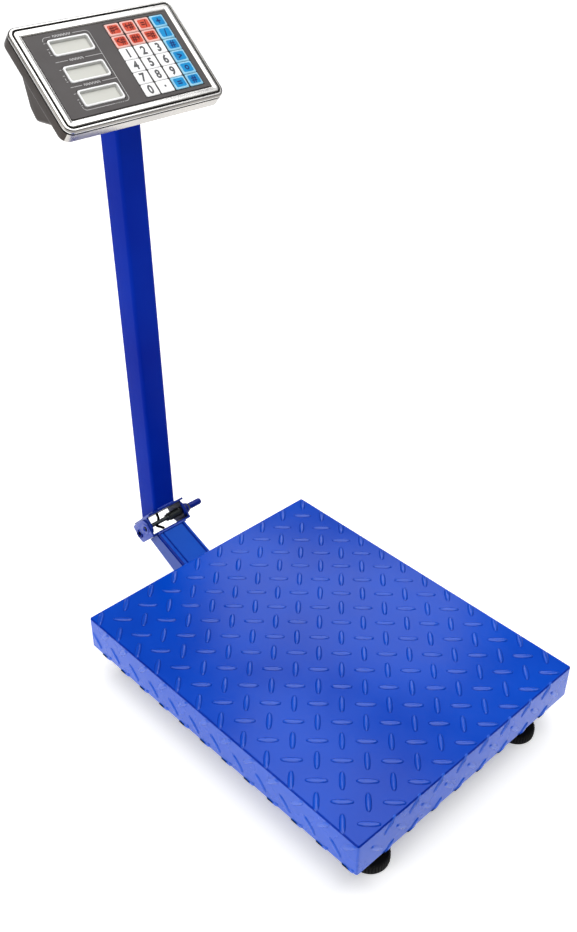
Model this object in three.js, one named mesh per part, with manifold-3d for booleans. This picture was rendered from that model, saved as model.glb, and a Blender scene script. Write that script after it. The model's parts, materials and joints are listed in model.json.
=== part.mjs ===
// Folding platform shipping scale: a tread-plate platform on a single-point load cell,
// a column that folds forward over the platform, and a tilted counting head on top.
// Millimetres, +Z up, +Y towards the column, +X to the right of a person reading the head.
import * as THREE from 'three';
import { mergeVertices } from 'three/addons/utils/BufferGeometryUtils.js';
import Module from 'manifold-3d';

const wasm = await Module();
wasm.setup();

// ---------------------------------------------------------------- driving dimensions
const GAP = 0.3;                    // left between pieces that touch
const DEG = Math.PI / 180;

const PLATFORM_X = 400;
const PLATFORM_Y = 500;
const PLATFORM_TOP = 102;           // height of the weighing surface
const SKIRT = 50;                   // height of the cover's skirt
const SHEET = 2.5;                  // cover and frame sheet thickness
const COVER_CORNER = 4;
const NOTCH_HALF = 28;              // the rear skirt's opening around the arm
const NOTCH_HEIGHT = 36;
const THROUGH = 10;                 // how far a cutter runs past what it cuts

const FRAME_X = 190;                // half width of the frame under the cover
const FRAME_Y = 236;
const RAIL = 24;                    // width of its channels
const FRAME_BOTTOM = 79;
const CELL_BEAM = [34, 82];         // the beam that sits on the load cell, along Y
const CELL_BEAM_THICK = 6;

const BASE_TOP = 52;                // lower frame: pressed channels, open below
const BASE_BOTTOM = 38;
const FOOT_X = 142;
const FOOT_Y = 219;
const CROSS_HALF = 16;              // half width of a cross channel
const CROSS_LENGTH = 340;
const ARM_HALF = 25;                // half width of the spine and of the support arm
const RISER_Y = 238;                // where the support arm is welded on
const RISER_THICK = 6;
const RISER_DROP = 5;               // the riser plate hangs this far below the spine
const CABLE_HOLE = 4.5;             // radius, and its height in the riser
const CABLE_HOLE_Z = 60;
const FOOT_RADIUS = 25;
const FOOT_THICK = 14;
const STUD_RADIUS = 5;
const FOOT_CHAMFER = 2;
const HUB = [11, 9, 5];             // the foot's hub: radius at the bottom, at the top, and height
const STUD_PROUD = 10;              // stud left above the lower frame

const CELL_LENGTH = 150;
const CELL_HALF = 20;
const CELL_Z = [55, 77];
const CELL_BORE = 8;                // two bores and the slit between them make the cell's parallelogram
const CELL_BORE_Y = 10;
const CELL_SLIT = 3;
const SPACER = [17, 16, 3];         // half sizes and corner radius
const SPACER_Y = 58;

const ARM_TOP_AT = [266, 89.5];     // a point of the arm's top line, and its slope
const ARM_TOP_SLOPE = Math.tan(21.7 * DEG);
const ARM_BOTTOM_AT = [292.5, 61.6];
const ARM_BOTTOM_SLOPE = Math.tan(27.3 * DEG);
const ARM_WALL = 3;
const ARM_RECESS = [1.2, 4, 9];     // depth, rim left at the sides, and how far it runs past the end

const PIVOT_Y = 338;                // fold axis, parallel to X
const PIVOT_Z = 116;
const ARM_END = -15.9;              // mitred end of the arm, from the pivot
const COLUMN_END = 16.5;            // mitred end of the column, from the pivot
const EAR = 2.8;                    // bracket plate thickness
const OUTER_EAR = 35.3;             // outside of the fixed bracket's ears
const INNER_EAR = 31.9;             // outside of the column bracket's ears
const LOCK_S = 24.7;                // lock hole, in the hinge frame
const LOCK_T = -2.1;
const ROD_RADIUS = 3;
const BUSH_RADIUS = 6;
const BUSH_FLANGE = [8.5, 1.5];     // radius and thickness
const BUSH_SHORT = 0.6;             // the bush stops this far inside the ears
const LOCK_HOLE = 4.2;
const LOCK_PIN = 3.8;
const OUTER_PLATE_S = [-9, 25];     // plates that carry the ears, along the mitred ends
const INNER_PLATE_S = [-20.9, 31];
const ROD_X = [-38.5, 55];
const ROD_COLLAR = [5.2, 3, 5.5];   // radius, and its two ends
const LATCH_PLATE = [8, 7, 3];      // radius around the rod, radius around the lock pin, thickness
const GRIP_X = [41.2, 65, 68, 69];  // collar, end of the straight grip, shoulder and tip
const GRIP_R = [6.2, 4.8, 3.6];
const GRIP_COLLAR = 3.5;
const GRIP_BORE_END = 55.5;
const SPRING_RADIUS = 5;
const SPRING_X = 5.8;

const COLUMN = 38;                  // square tube
const COLUMN_CORNER = 5;
const COLUMN_WALL = 1.6;
const COLUMN_Y = 352.4;             // its axis at the height of the platform
const LEAN = 2.17 * DEG;            // it leans back

const HEAD_AT = [363.8, 772.8];     // centre of the face panel
const HEAD_TILT = 40.83 * DEG;
const HEAD_X = 116;                 // half width
const HEAD_LOW = -71;
const HEAD_HIGH = 70.5;
const HEAD_CORNER = 12;
const COVER_BACK = -4.8;            // back edge of the front cover
const SHELL_FRONT = -6.2;           // front edge of the rear shell, a dark seam behind the cover
const COVER_FACE = 1.2;             // the front cover stands proud of the panel
const COVER_PLATE = 2;
const COVER_WALL = 2;
const HEAD_BACK = -21;
const SHELL = 1.8;
const BELLY_X = 104;
const BELLY_LOW = [-61, -14];       // the underside runs from here to the apex
const BELLY_APEX = [-13, -62];
const BELLY_KNEE = [4, -58.8];
const BELLY_HIGH = [66, -19.5];
const BELLY_END = [66, -14];
const UNDER_AT = [-26.2, -48.8];    // where the column's axis meets the underside
const PANEL_X = 101.3;
const PANEL_U = 55.5;
const PANEL_THICK = 3.5;
const PANEL_CORNER = 2;
const FLANGE = 4;                   // the panel's flange behind the cover, and its back face

const WINDOW_X = [-76, -20];
const WINDOW_CENTRES = [34.8, -1.5, -33.8];
const WINDOW_HEIGHT = 22;
const WINDOW_CORNER = 3;
const WINDOW_FRAME = [4, 3.5];      // width of the frame around the screen, across and up
const MODULE_Z = [-10.7, 1.2];

const KEY_LEFT = 7;
const KEY_COLUMN_PITCH = 22.1;
const KEY_WIDTH = 19.8;
const KEY_HEIGHT = 16.5;
const KEY_TOP = 51.6;
const KEY_ROW_PITCH = 17.1;
const KEY_ROWS = 6;
const KEY_COLUMNS = 4;
const KEY_Z = [-0.3, 0.9];
const KEY_CORNER = 1.5;
const POCKET_DEPTH = 1.2;
const POCKET_MARGIN = 1;
const BOARD = [98, 50, -12.6, -11]; // half sizes, back and front
const BATTERY_X = [-98, -34];
const BATTERY_U = [-20, 8];
const BATTERY_N = [-40, -18];

const SWITCH_AT = [46, 9];           // on the underside, from the column's axis
const SWITCH_HALF = [7.3, 10.8];     // half sizes of its opening in the shell
const SWITCH_DEPTH = 11;
const SWITCH_WELL = [5.5, 8.6, 8];
const INLET_AT = [78, 9];
const INLET_HALF = [11.3, 7.3];
const INLET_DEPTH = 13;
const INLET_WELL = [8.5, 4.7, 10.5];
const ROCKER_TILT = 8 * DEG;
const ROCKER_PIVOT = -3;
const ROCKER_HALF = [5, 7.6];
const ROCKER_RISE = [1.2, 2.6];      // height of its ends and of its middle ridge
const NECK_HOLE = 6;                 // for the cable, where the column meets the head
const HEAD_PLATE = [30, -12, 30, 3]; // bracket inside the head: half width, two ends, thickness

const CABLE_RADIUS = 2;
const CABLE_X = -3;                  // where the cable crosses the fold, in the hinge frame
const CABLE_S = 9;
const CABLE_BRACKET_HOLE = 5;

// ---------------------------------------------------------------- materials
function material(colour, roughness, metalness = 0) {
  return new THREE.MeshStandardMaterial({ color: colour, roughness, metalness });
}
const bluePaint = material(0x1c46b8, 0.32);
const darkPaint = material(0x25272b, 0.5);
const steel = material(0xc9c9cc, 0.28, 1);
const zinc = material(0xa9abae, 0.35, 1);
const aluminium = material(0xb9bbbd, 0.4, 1);
const blackPlastic = material(0x141416, 0.55);
const greyPanel = material(0x55504f, 0.45);
const whitePlastic = material(0xe9e9ec, 0.35);
const redKey = material(0xe06a50, 0.35);
const blueKey = material(0x2a95d4, 0.35);
const greenBoard = material(0x1f6b3d, 0.5);

// ---------------------------------------------------------------- solids
function asSolid(geometry) {
  const bare = geometry.clone();
  bare.deleteAttribute('normal');
  bare.deleteAttribute('uv');
  const merged = mergeVertices(bare, 1e-4);
  return new wasm.Manifold(new wasm.Mesh({
    numProp: 3,
    vertProperties: Float32Array.from(merged.attributes.position.array),
    triVerts: Uint32Array.from(merged.index.array),
  }));
}

function asGeometry(solid) {
  const mesh = solid.getMesh();
  const geometry = new THREE.BufferGeometry();
  geometry.setAttribute('position', new THREE.BufferAttribute(Float32Array.from(mesh.vertProperties), 3));
  geometry.setIndex(Array.from(mesh.triVerts));
  geometry.computeVertexNormals();
  return geometry;
}

function join(...geometries) {
  return asGeometry(geometries.map(asSolid).reduce((whole, next) => whole.add(next)));
}

function cut(geometry, ...cutters) {
  return asGeometry(cutters.map(asSolid).reduce((whole, next) => whole.subtract(next), asSolid(geometry)));
}

function block(x0, x1, y0, y1, z0, z1) {
  const geometry = new THREE.BoxGeometry(x1 - x0, y1 - y0, z1 - z0);
  return geometry.translate((x0 + x1) / 2, (y0 + y1) / 2, (z0 + z1) / 2);
}

function post(radius, z0, z1, x, y, sides = 32) {
  const geometry = new THREE.CylinderGeometry(radius, radius, z1 - z0, sides);
  return geometry.rotateX(Math.PI / 2).translate(x, y, (z0 + z1) / 2);
}

function axle(radius, x0, x1, y, z, sides = 32) {
  const geometry = new THREE.CylinderGeometry(radius, radius, x1 - x0, sides);
  return geometry.rotateZ(Math.PI / 2).translate((x0 + x1) / 2, y, z);
}

function polygon(points) {
  return new THREE.Shape(points.map(([a, b]) => new THREE.Vector2(a, b)));
}

function roundedRect(x0, y0, x1, y1, radius) {
  const shape = new THREE.Shape();
  shape.moveTo(x0 + radius, y0);
  shape.lineTo(x1 - radius, y0);
  shape.absarc(x1 - radius, y0 + radius, radius, -Math.PI / 2, 0);
  shape.lineTo(x1, y1 - radius);
  shape.absarc(x1 - radius, y1 - radius, radius, 0, Math.PI / 2);
  shape.lineTo(x0 + radius, y1);
  shape.absarc(x0 + radius, y1 - radius, radius, Math.PI / 2, Math.PI);
  shape.lineTo(x0, y0 + radius);
  shape.absarc(x0 + radius, y0 + radius, radius, Math.PI, 1.5 * Math.PI);
  return shape;
}

function prismZ(shape, z0, z1, curveSegments = 3) {
  const options = { depth: z1 - z0, bevelEnabled: false, curveSegments };
  return new THREE.ExtrudeGeometry(shape, options).translate(0, 0, z0);
}

// a shape drawn in (y, z), drawn out along X
function prismX(shape, x0, x1) {
  const options = { depth: x1 - x0, bevelEnabled: false, curveSegments: 5 };
  const turn = new THREE.Matrix4().makeBasis(
    new THREE.Vector3(0, 1, 0), new THREE.Vector3(0, 0, 1), new THREE.Vector3(1, 0, 0));
  return new THREE.ExtrudeGeometry(shape, options).applyMatrix4(turn).translate(x0, 0, 0);
}

// a convex outline, counter-clockwise, moved inwards by a wall thickness
function inset(points, wall) {
  const edges = points.map((point, i) => {
    const next = points[(i + 1) % points.length];
    const length = Math.hypot(next[0] - point[0], next[1] - point[1]);
    const normal = [-(next[1] - point[1]) / length, (next[0] - point[0]) / length];
    return { normal, offset: normal[0] * point[0] + normal[1] * point[1] + wall };
  });
  return edges.map((edge, i) => {
    const before = edges[(i + edges.length - 1) % edges.length];
    const det = before.normal[0] * edge.normal[1] - before.normal[1] * edge.normal[0];
    return [
      (before.offset * edge.normal[1] - before.normal[1] * edge.offset) / det,
      (before.normal[0] * edge.offset - before.offset * edge.normal[0]) / det,
    ];
  });
}

function cable(points, steps) {
  const curve = new THREE.CatmullRomCurve3(points.map(([x, y, z]) => new THREE.Vector3(x, y, z)));
  const section = new THREE.Shape().absarc(0, 0, CABLE_RADIUS, 0, 2 * Math.PI);
  const options = { steps, extrudePath: curve, curveSegments: 4 };
  return new THREE.ExtrudeGeometry(section, options);
}

function add(group, name, geometry, finish) {
  const mesh = new THREE.Mesh(geometry, finish);
  mesh.name = name;
  group.add(mesh);
  return mesh;
}

// ---------------------------------------------------------------- frames
const scale = new THREE.Group();
const hinge = new THREE.Group();            // local y and z lie along and across the mitred ends
hinge.position.set(0, PIVOT_Y, PIVOT_Z);
hinge.rotation.x = -45 * DEG;
const head = new THREE.Group();             // local y runs up the face, z out of it
head.position.set(0, HEAD_AT[0], HEAD_AT[1]);
head.rotation.x = HEAD_TILT;
const under = new THREE.Group();            // local z points out of the head's underside
under.position.set(0, UNDER_AT[0], UNDER_AT[1]);
under.rotation.x = 135 * DEG;
head.add(under);
scale.add(hinge, head);
scale.updateMatrixWorld(true);

function hingePoint(x, s, t) {
  return new THREE.Vector3(x, s, t).applyMatrix4(hinge.matrixWorld).toArray();
}

function headPoint(x, u, n) {
  return new THREE.Vector3(x, u, n).applyMatrix4(head.matrixWorld).toArray();
}

// ---------------------------------------------------------------- platform
function platformCover() {
  const x = PLATFORM_X / 2;
  const y = PLATFORM_Y / 2;
  const bottom = PLATFORM_TOP - SKIRT;
  const outside = prismZ(roundedRect(-x, -y, x, y, COVER_CORNER), bottom, PLATFORM_TOP);
  const inside = prismZ(
    roundedRect(SHEET - x, SHEET - y, x - SHEET, y - SHEET, COVER_CORNER - SHEET),
    bottom - 1, PLATFORM_TOP - SHEET);
  const notch = block(-NOTCH_HALF, NOTCH_HALF, y - THROUGH, y + THROUGH, bottom - 1, bottom + NOTCH_HEIGHT);
  return cut(outside, inside, notch);
}

function upperFrame() {
  const top = PLATFORM_TOP - SHEET - GAP;
  const outside = block(-FRAME_X, FRAME_X, -FRAME_Y, FRAME_Y, FRAME_BOTTOM, top);
  const middle = block(RAIL - FRAME_X, FRAME_X - RAIL, RAIL - FRAME_Y, FRAME_Y - RAIL, 0, top + 1);
  const ringOut = block(SHEET - FRAME_X, FRAME_X - SHEET, SHEET - FRAME_Y, FRAME_Y - SHEET, 0, top - SHEET);
  const ringIn = block(
    RAIL - SHEET - FRAME_X, FRAME_X + SHEET - RAIL, RAIL - SHEET - FRAME_Y, FRAME_Y + SHEET - RAIL, -1, top);
  const beamX = FRAME_X - RAIL + SHEET / 2;
  const beam = block(-beamX, beamX, CELL_BEAM[0], CELL_BEAM[1], FRAME_BOTTOM, FRAME_BOTTOM + CELL_BEAM_THICK);
  return join(cut(outside, middle, cut(ringOut, ringIn)), beam);
}

function baseFrame() {
  const crossX = CROSS_LENGTH / 2;
  const solids = [block(-ARM_HALF, ARM_HALF, -FOOT_Y, RISER_Y, BASE_BOTTOM, BASE_TOP)];
  const hollowTop = BASE_TOP - SHEET;
  const wall = ARM_HALF - SHEET;
  const hollows = [block(-wall, wall, -FOOT_Y, FOOT_Y, BASE_BOTTOM - 1, hollowTop)];
  for (const y of [-FOOT_Y, FOOT_Y]) {
    solids.push(block(-crossX, crossX, y - CROSS_HALF, y + CROSS_HALF, BASE_BOTTOM, BASE_TOP));
    hollows.push(block(
      SHEET - crossX, crossX - SHEET, y - CROSS_HALF + SHEET, y + CROSS_HALF - SHEET,
      BASE_BOTTOM - 1, hollowTop));
    for (const x of [-FOOT_X, FOOT_X]) {
      hollows.push(post(STUD_RADIUS + GAP, BASE_BOTTOM, BASE_TOP + 1, x, y));
    }
  }
  const riser = block(
    -ARM_HALF, ARM_HALF, RISER_Y - RISER_THICK, RISER_Y, BASE_BOTTOM - RISER_DROP, FRAME_BOTTOM - 2);
  const passage = post(CABLE_HOLE, RISER_Y - 2 * THROUGH, RISER_Y + THROUGH, 0, -CABLE_HOLE_Z);
  return cut(join(cut(join(...solids), ...hollows), riser), passage.rotateX(-Math.PI / 2));
}

function loadCell() {
  const y = CELL_LENGTH / 2;
  const middle = (CELL_Z[0] + CELL_Z[1]) / 2;
  const body = block(-CELL_HALF, CELL_HALF, -y, y, CELL_Z[0], CELL_Z[1]);
  const x = CELL_HALF + 1;
  const bores = [-CELL_BORE_Y, CELL_BORE_Y].map((offset) => axle(CELL_BORE, -x, x, offset, middle, 24));
  const slit = block(-x, x, -CELL_BORE_Y, CELL_BORE_Y, middle - CELL_SLIT, middle + CELL_SLIT);
  return cut(body, ...bores, slit);
}

function spacer(y, z0, z1) {
  const [x, half, corner] = SPACER;
  return prismZ(roundedRect(-x, y - half, x, y + half, corner), z0, z1);
}

function levellingFoot(x, y) {
  const [hubLow, hubHigh, hubHeight] = HUB;
  const rim = FOOT_RADIUS - FOOT_CHAMFER;
  const studTop = BASE_TOP + STUD_PROUD;
  const profile = [
    [0, 0], [rim, 0], [FOOT_RADIUS, FOOT_CHAMFER], [FOOT_RADIUS, FOOT_THICK - FOOT_CHAMFER],
    [rim, FOOT_THICK], [hubLow, FOOT_THICK], [hubHigh, FOOT_THICK + hubHeight],
    [STUD_RADIUS, FOOT_THICK + hubHeight], [STUD_RADIUS, studTop], [0, studTop],
  ];
  const geometry = new THREE.LatheGeometry(profile.map(([r, z]) => new THREE.Vector2(r, z)), 24);
  return geometry.rotateX(Math.PI / 2).translate(x, y, 0);
}

// ---------------------------------------------------------------- arm and hinge
const armTop = (y) => ARM_TOP_AT[1] + (y - ARM_TOP_AT[0]) * ARM_TOP_SLOPE;
const armBottom = (y) => ARM_BOTTOM_AT[1] + (y - ARM_BOTTOM_AT[0]) * ARM_BOTTOM_SLOPE;

function supportArm() {
  const start = RISER_Y + GAP;
  const endSum = PIVOT_Y + PIVOT_Z + ARM_END * Math.SQRT2;      // y + z on the mitred end
  const topEnd = (endSum - armTop(0)) / (1 + ARM_TOP_SLOPE);
  const bottomEnd = (endSum - armBottom(0)) / (1 + ARM_BOTTOM_SLOPE);
  const outline = [
    [start, armBottom(start)], [bottomEnd, armBottom(bottomEnd)],
    [topEnd, armTop(topEnd)], [start, armTop(start)],
  ];
  const body = prismX(polygon(outline), -ARM_HALF, ARM_HALF);
  const core = inset(outline, ARM_WALL);
  const reach = 30;                                             // the core is run out past both ends
  const low = [core[1][0] - core[0][0], core[1][1] - core[0][1]];
  const high = [core[2][0] - core[3][0], core[2][1] - core[3][1]];
  const stretch = (point, along, sign) => {
    const length = Math.hypot(along[0], along[1]);
    return [point[0] + sign * reach * along[0] / length, point[1] + sign * reach * along[1] / length];
  };
  const hollow = prismX(polygon([
    stretch(core[0], low, -1), stretch(core[1], low, 1), stretch(core[2], high, 1), stretch(core[3], high, -1),
  ]), ARM_WALL - ARM_HALF, ARM_HALF - ARM_WALL);
  const [depth, side, past] = ARM_RECESS;
  const from = start - THROUGH;
  const to = topEnd + past;
  const recess = prismX(polygon([
    [from, armTop(from) - depth], [to, armTop(to) - depth],
    [to, armTop(to) + THROUGH], [from, armTop(from) + THROUGH],
  ]), side - ARM_HALF, ARM_HALF - side);
  return cut(body, hollow, recess);
}

// ear outlines are drawn in the hinge frame, where the pivot is the origin
function outerEarShape() {
  const shape = new THREE.Shape();
  const low = ARM_END + GAP;
  shape.moveTo(-9, low);
  shape.lineTo(25, low);
  shape.absarc(25, low + 8, 8, -Math.PI / 2, 0);
  shape.lineTo(33, 9.5);
  shape.absarc(29, 9.5, 4, 0, Math.PI / 2);
  shape.lineTo(1, 13.5);
  shape.absarc(1, 3.5, 10, Math.PI / 2, Math.PI);
  return shape;
}

function innerEarShape() {
  const shape = new THREE.Shape();
  const high = COLUMN_END - GAP;
  shape.moveTo(-11, high);
  shape.lineTo(-11, 0);
  shape.absarc(0, 0, 11, Math.PI, 1.5 * Math.PI);
  shape.lineTo(22, -9);
  shape.absarc(24, -2, 7, 1.6 * Math.PI, 2 * Math.PI);
  shape.lineTo(31, high);
  return shape;
}

function bracket(earShape, halfWidth, plate) {
  const hole = BUSH_RADIUS + GAP;
  const left = prismX(earShape(), -halfWidth, EAR - halfWidth);
  const right = prismX(earShape(), halfWidth - EAR, halfWidth);
  return cut(
    join(plate, left, right),
    axle(hole, -50, 50, 0, 0),
    axle(LOCK_HOLE, -50, 50, LOCK_S, LOCK_T, 20));
}

function cableHole(t) {
  return post(CABLE_BRACKET_HOLE, t - THROUGH, t + THROUGH, CABLE_X, CABLE_S, 20);
}

function hingeBracket() {
  const low = ARM_END + GAP;
  const plate = block(-OUTER_EAR, OUTER_EAR, ...OUTER_PLATE_S, low, low + EAR);
  return cut(bracket(outerEarShape, OUTER_EAR, plate), cableHole(low));
}

function columnBracket() {
  const high = COLUMN_END - GAP;
  const plate = block(-INNER_EAR, INNER_EAR, ...INNER_PLATE_S, high - EAR, high);
  return cut(bracket(innerEarShape, INNER_EAR, plate), cableHole(high));
}

function pivotBush(side) {
  const [flangeRadius, flangeThick] = BUSH_FLANGE;
  const flange = [OUTER_EAR + GAP, OUTER_EAR + GAP + flangeThick];
  const inner = INNER_EAR - EAR - BUSH_SHORT;
  const place = (a, b) => (side > 0 ? [a, b] : [-b, -a]);
  const body = join(
    axle(BUSH_RADIUS, ...place(inner, flange[1]), 0, 0),
    axle(flangeRadius, ...place(flange[0], flange[1]), 0, 0));
  return cut(body, axle(ROD_RADIUS + GAP, -60, 60, 0, 0, 24));
}

function latchRod() {
  const [collarRadius, ...collar] = ROD_COLLAR;
  return join(axle(ROD_RADIUS, ...ROD_X, 0, 0, 24), axle(collarRadius, ...collar, 0, 0, 24));
}

function latchPlate() {
  const [rodEnd, pinEnd, thickness] = LATCH_PLATE;
  const x0 = OUTER_EAR + BUSH_FLANGE[1] + 2 * GAP + 0.5;
  const outline = new THREE.Shape();
  outline.absarc(0, 0, rodEnd, 0.5 * Math.PI, 1.5 * Math.PI);
  outline.absarc(LOCK_S, LOCK_T, pinEnd, 1.5 * Math.PI, 2.5 * Math.PI);
  const plate = prismX(outline, x0, x0 + thickness);
  const lockPin = axle(LOCK_PIN, INNER_EAR + GAP, x0 + 1, LOCK_S, LOCK_T, 20);
  return cut(join(plate, lockPin), axle(ROD_RADIUS + GAP, x0 - 5, x0 + THROUGH, 0, 0, 24));
}

function releaseHandle() {
  const [collar, straightEnd, shoulder, tip] = GRIP_X;
  const [collarRadius, gripRadius, shoulderRadius] = GRIP_R;
  const collarEnd = collar + GRIP_COLLAR;
  const profile = [
    [0, collar], [collarRadius, collar], [collarRadius, collarEnd], [gripRadius, collarEnd + 1],
    [gripRadius, straightEnd], [shoulderRadius, shoulder], [0, tip],
  ];
  const geometry = new THREE.LatheGeometry(profile.map(([r, x]) => new THREE.Vector2(r, x)), 24);
  const body = geometry.rotateZ(-Math.PI / 2);
  return cut(body, axle(ROD_RADIUS + GAP, 30, GRIP_BORE_END, 0, 0, 24));
}

function latchSpring() {
  const end = INNER_EAR - EAR - BUSH_SHORT - GAP;
  const bore = axle(ROD_RADIUS + 0.4, SPRING_X - 1, end + 1, 0, 0, 24);
  return cut(axle(SPRING_RADIUS, SPRING_X, end, 0, 0, 24), bore);
}

// ---------------------------------------------------------------- column
function columnTube() {
  const half = COLUMN / 2;
  const inner = half - COLUMN_WALL;
  const outside = prismZ(roundedRect(-half, -half, half, half, COLUMN_CORNER), -60, 700);
  const inside = prismZ(roundedRect(-inner, -inner, inner, inner, COLUMN_CORNER - COLUMN_WALL), -80, 720);
  const tube = cut(outside, inside).rotateX(-LEAN).translate(0, COLUMN_Y, PLATFORM_TOP);
  const below = block(-60, 60, -200, 200, -200, COLUMN_END).applyMatrix4(hinge.matrixWorld);
  const above = block(-60, 60, -100, 100, -300, GAP).applyMatrix4(under.matrixWorld);
  return cut(tube, below, above);
}

function columnAxis(z) {
  return [0, COLUMN_Y + (z - PLATFORM_TOP) * Math.tan(LEAN), z];
}

// ---------------------------------------------------------------- signal cable
// a point of the cable's way through the brackets' holes, at a height t and bowed out by bow
function crossing(t, bow = 0) {
  return hingePoint(CABLE_X, CABLE_S + bow, t);
}

function cableInBase() {
  return cable([
    [0, CELL_LENGTH / 2 + GAP, 65], [0, 110, 61], [0, 180, 60], [0, 225, 60], [0, 245, 60.5],
    [-1, 275, 70], [-2, 308, 85], crossing(-20), crossing(-12.4),
  ], 26);
}

function cableLoop() {
  return cable([
    crossing(-11.4), crossing(-6, 2), crossing(0, 3.5), crossing(6, 2), crossing(12.2),
  ], 8);
}

function cableInColumn() {
  return cable([
    crossing(13.2), crossing(24), [-1, 357, 170], columnAxis(300), columnAxis(500),
    columnAxis(690), columnAxis(720), headPoint(0, -16, -38), headPoint(6, -14, -22), headPoint(8, -14, -14),
  ], 40);
}

// ---------------------------------------------------------------- head, in its own tilted frame
function headOutline(shrink) {
  return roundedRect(
    shrink - HEAD_X, HEAD_LOW + shrink, HEAD_X - shrink, HEAD_HIGH - shrink, HEAD_CORNER - shrink);
}

function frontCover() {
  const body = prismZ(headOutline(0), COVER_BACK, COVER_FACE);
  const hollow = prismZ(headOutline(COVER_WALL), COVER_BACK - 1, COVER_FACE - COVER_PLATE);
  const window = block(-PANEL_X - GAP, PANEL_X + GAP, -PANEL_U - GAP, PANEL_U + GAP, -5, 5);
  return cut(body, hollow, window);
}

// a block around a place on the underside, larger than half by margin
function around([x, y], [halfX, halfY], margin, z0, z1) {
  return block(x - halfX - margin, x + halfX + margin, y - halfY - margin, y + halfY + margin, z0, z1);
}

function rearShell() {
  const belly = [BELLY_LOW, BELLY_APEX, BELLY_KNEE, BELLY_HIGH, BELLY_END];
  const outside = join(
    prismZ(headOutline(0), HEAD_BACK, SHELL_FRONT),
    prismX(polygon(belly), -BELLY_X, BELLY_X));
  const inside = join(
    prismZ(headOutline(2), HEAD_BACK + SHELL, SHELL_FRONT + 2),
    prismX(polygon(inset(belly, SHELL)), SHELL - BELLY_X, BELLY_X - SHELL));
  const openings = [
    post(NECK_HOLE, -20, 20, 0, 0, 24),
    around(SWITCH_AT, SWITCH_HALF, 0, -20, 20),
    around(INLET_AT, INLET_HALF, 0, -20, 20),
  ].map((opening) => opening.applyMatrix4(under.matrix));
  return cut(outside, inside, ...openings);
}

function facePanel() {
  const flangeTop = COVER_FACE - COVER_PLATE - GAP;
  const face = prismZ(roundedRect(-PANEL_X, -PANEL_U, PANEL_X, PANEL_U, PANEL_CORNER), -PANEL_THICK, 0);
  const flange = block(
    -PANEL_X - FLANGE, PANEL_X + FLANGE, -PANEL_U - FLANGE, PANEL_U + FLANGE, -FLANGE, flangeTop);
  const windows = WINDOW_CENTRES.map((u) => block(
    WINDOW_X[0] - GAP, WINDOW_X[1] + GAP,
    u - WINDOW_HEIGHT / 2 - GAP, u + WINDOW_HEIGHT / 2 + GAP, -THROUGH, THROUGH));
  const right = KEY_LEFT + (KEY_COLUMNS - 1) * KEY_COLUMN_PITCH + KEY_WIDTH;
  const low = KEY_TOP - (KEY_ROWS - 1) * KEY_ROW_PITCH - KEY_HEIGHT;
  const pocket = block(
    KEY_LEFT - POCKET_MARGIN, right + POCKET_MARGIN, low - POCKET_MARGIN, KEY_TOP + POCKET_MARGIN,
    -POCKET_DEPTH, THROUGH);
  return cut(join(face, flange), ...windows, pocket);
}

function displayModule(u) {
  const half = WINDOW_HEIGHT / 2;
  const [x0, x1] = WINDOW_X;
  const [across, up] = WINDOW_FRAME;
  const frame = prismZ(roundedRect(x0, u - half, x1, u + half, WINDOW_CORNER), ...MODULE_Z);
  const screen = block(x0 + across, x1 - across, u - half + up, u + half - up, 0, THROUGH);
  return cut(frame, screen);
}

function key(row, column) {
  const left = KEY_LEFT + column * KEY_COLUMN_PITCH;
  const top = KEY_TOP - row * KEY_ROW_PITCH;
  const outline = roundedRect(left, top - KEY_HEIGHT, left + KEY_WIDTH, top, KEY_CORNER);
  return prismZ(outline, ...KEY_Z, 1);
}

function switchHousing() {
  const [wellX, wellY, wellDepth] = SWITCH_WELL;
  const outside = join(
    around(SWITCH_AT, SWITCH_HALF, -GAP, -SWITCH_DEPTH, 1),
    around(SWITCH_AT, SWITCH_HALF, 1, GAP, 2));
  return cut(outside, around(SWITCH_AT, [wellX, wellY], 0, -wellDepth, THROUGH));
}

function rocker() {
  const [x, y] = ROCKER_HALF;
  const [end, ridge] = ROCKER_RISE.map((rise) => rise - ROCKER_PIVOT);
  return prismX(polygon([[-y, 0], [y, 0], [y, end], [0, ridge], [-y, end]]), -x, x);
}

function chargingInlet() {
  const outside = join(
    around(INLET_AT, INLET_HALF, -GAP, -INLET_DEPTH, 1),
    around(INLET_AT, INLET_HALF, 1, GAP, 1.6));
  const [x, y] = INLET_AT;
  const [halfX, halfY, depth] = INLET_WELL;
  const well = prismZ(roundedRect(x - halfX, y - halfY, x + halfX, y + halfY, 4), -depth, THROUGH);
  return cut(outside, well);
}

function headBracket() {
  const [half, y0, y1, thickness] = HEAD_PLATE;
  const plate = block(-half, half, y0, y1, -SHELL - GAP - thickness, -SHELL - GAP);
  return cut(plate, post(NECK_HOLE, -20, 20, 0, 0, 24));
}

// ---------------------------------------------------------------- assembly
add(scale, 'platform_cover', platformCover(), bluePaint);
add(scale, 'upper_frame', upperFrame(), darkPaint);
add(scale, 'load_cell', loadCell(), aluminium);
add(scale, 'cell_spacer_upper', spacer(SPACER_Y, CELL_Z[1] + GAP, FRAME_BOTTOM - GAP), steel);
add(scale, 'cell_spacer_lower', spacer(-SPACER_Y, BASE_TOP + GAP, CELL_Z[0] - GAP), steel);
add(scale, 'base_frame', baseFrame(), darkPaint);
add(scale, 'support_arm', supportArm(), bluePaint);
for (const [side, x] of [['left', -FOOT_X], ['right', FOOT_X]]) {
  add(scale, `levelling_foot_front_${side}`, levellingFoot(x, -FOOT_Y), blackPlastic);
  add(scale, `levelling_foot_rear_${side}`, levellingFoot(x, FOOT_Y), blackPlastic);
}
add(hinge, 'hinge_bracket', hingeBracket(), bluePaint);
add(hinge, 'pivot_bush_left', pivotBush(-1), zinc);
add(hinge, 'pivot_bush_right', pivotBush(1), zinc);
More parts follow.
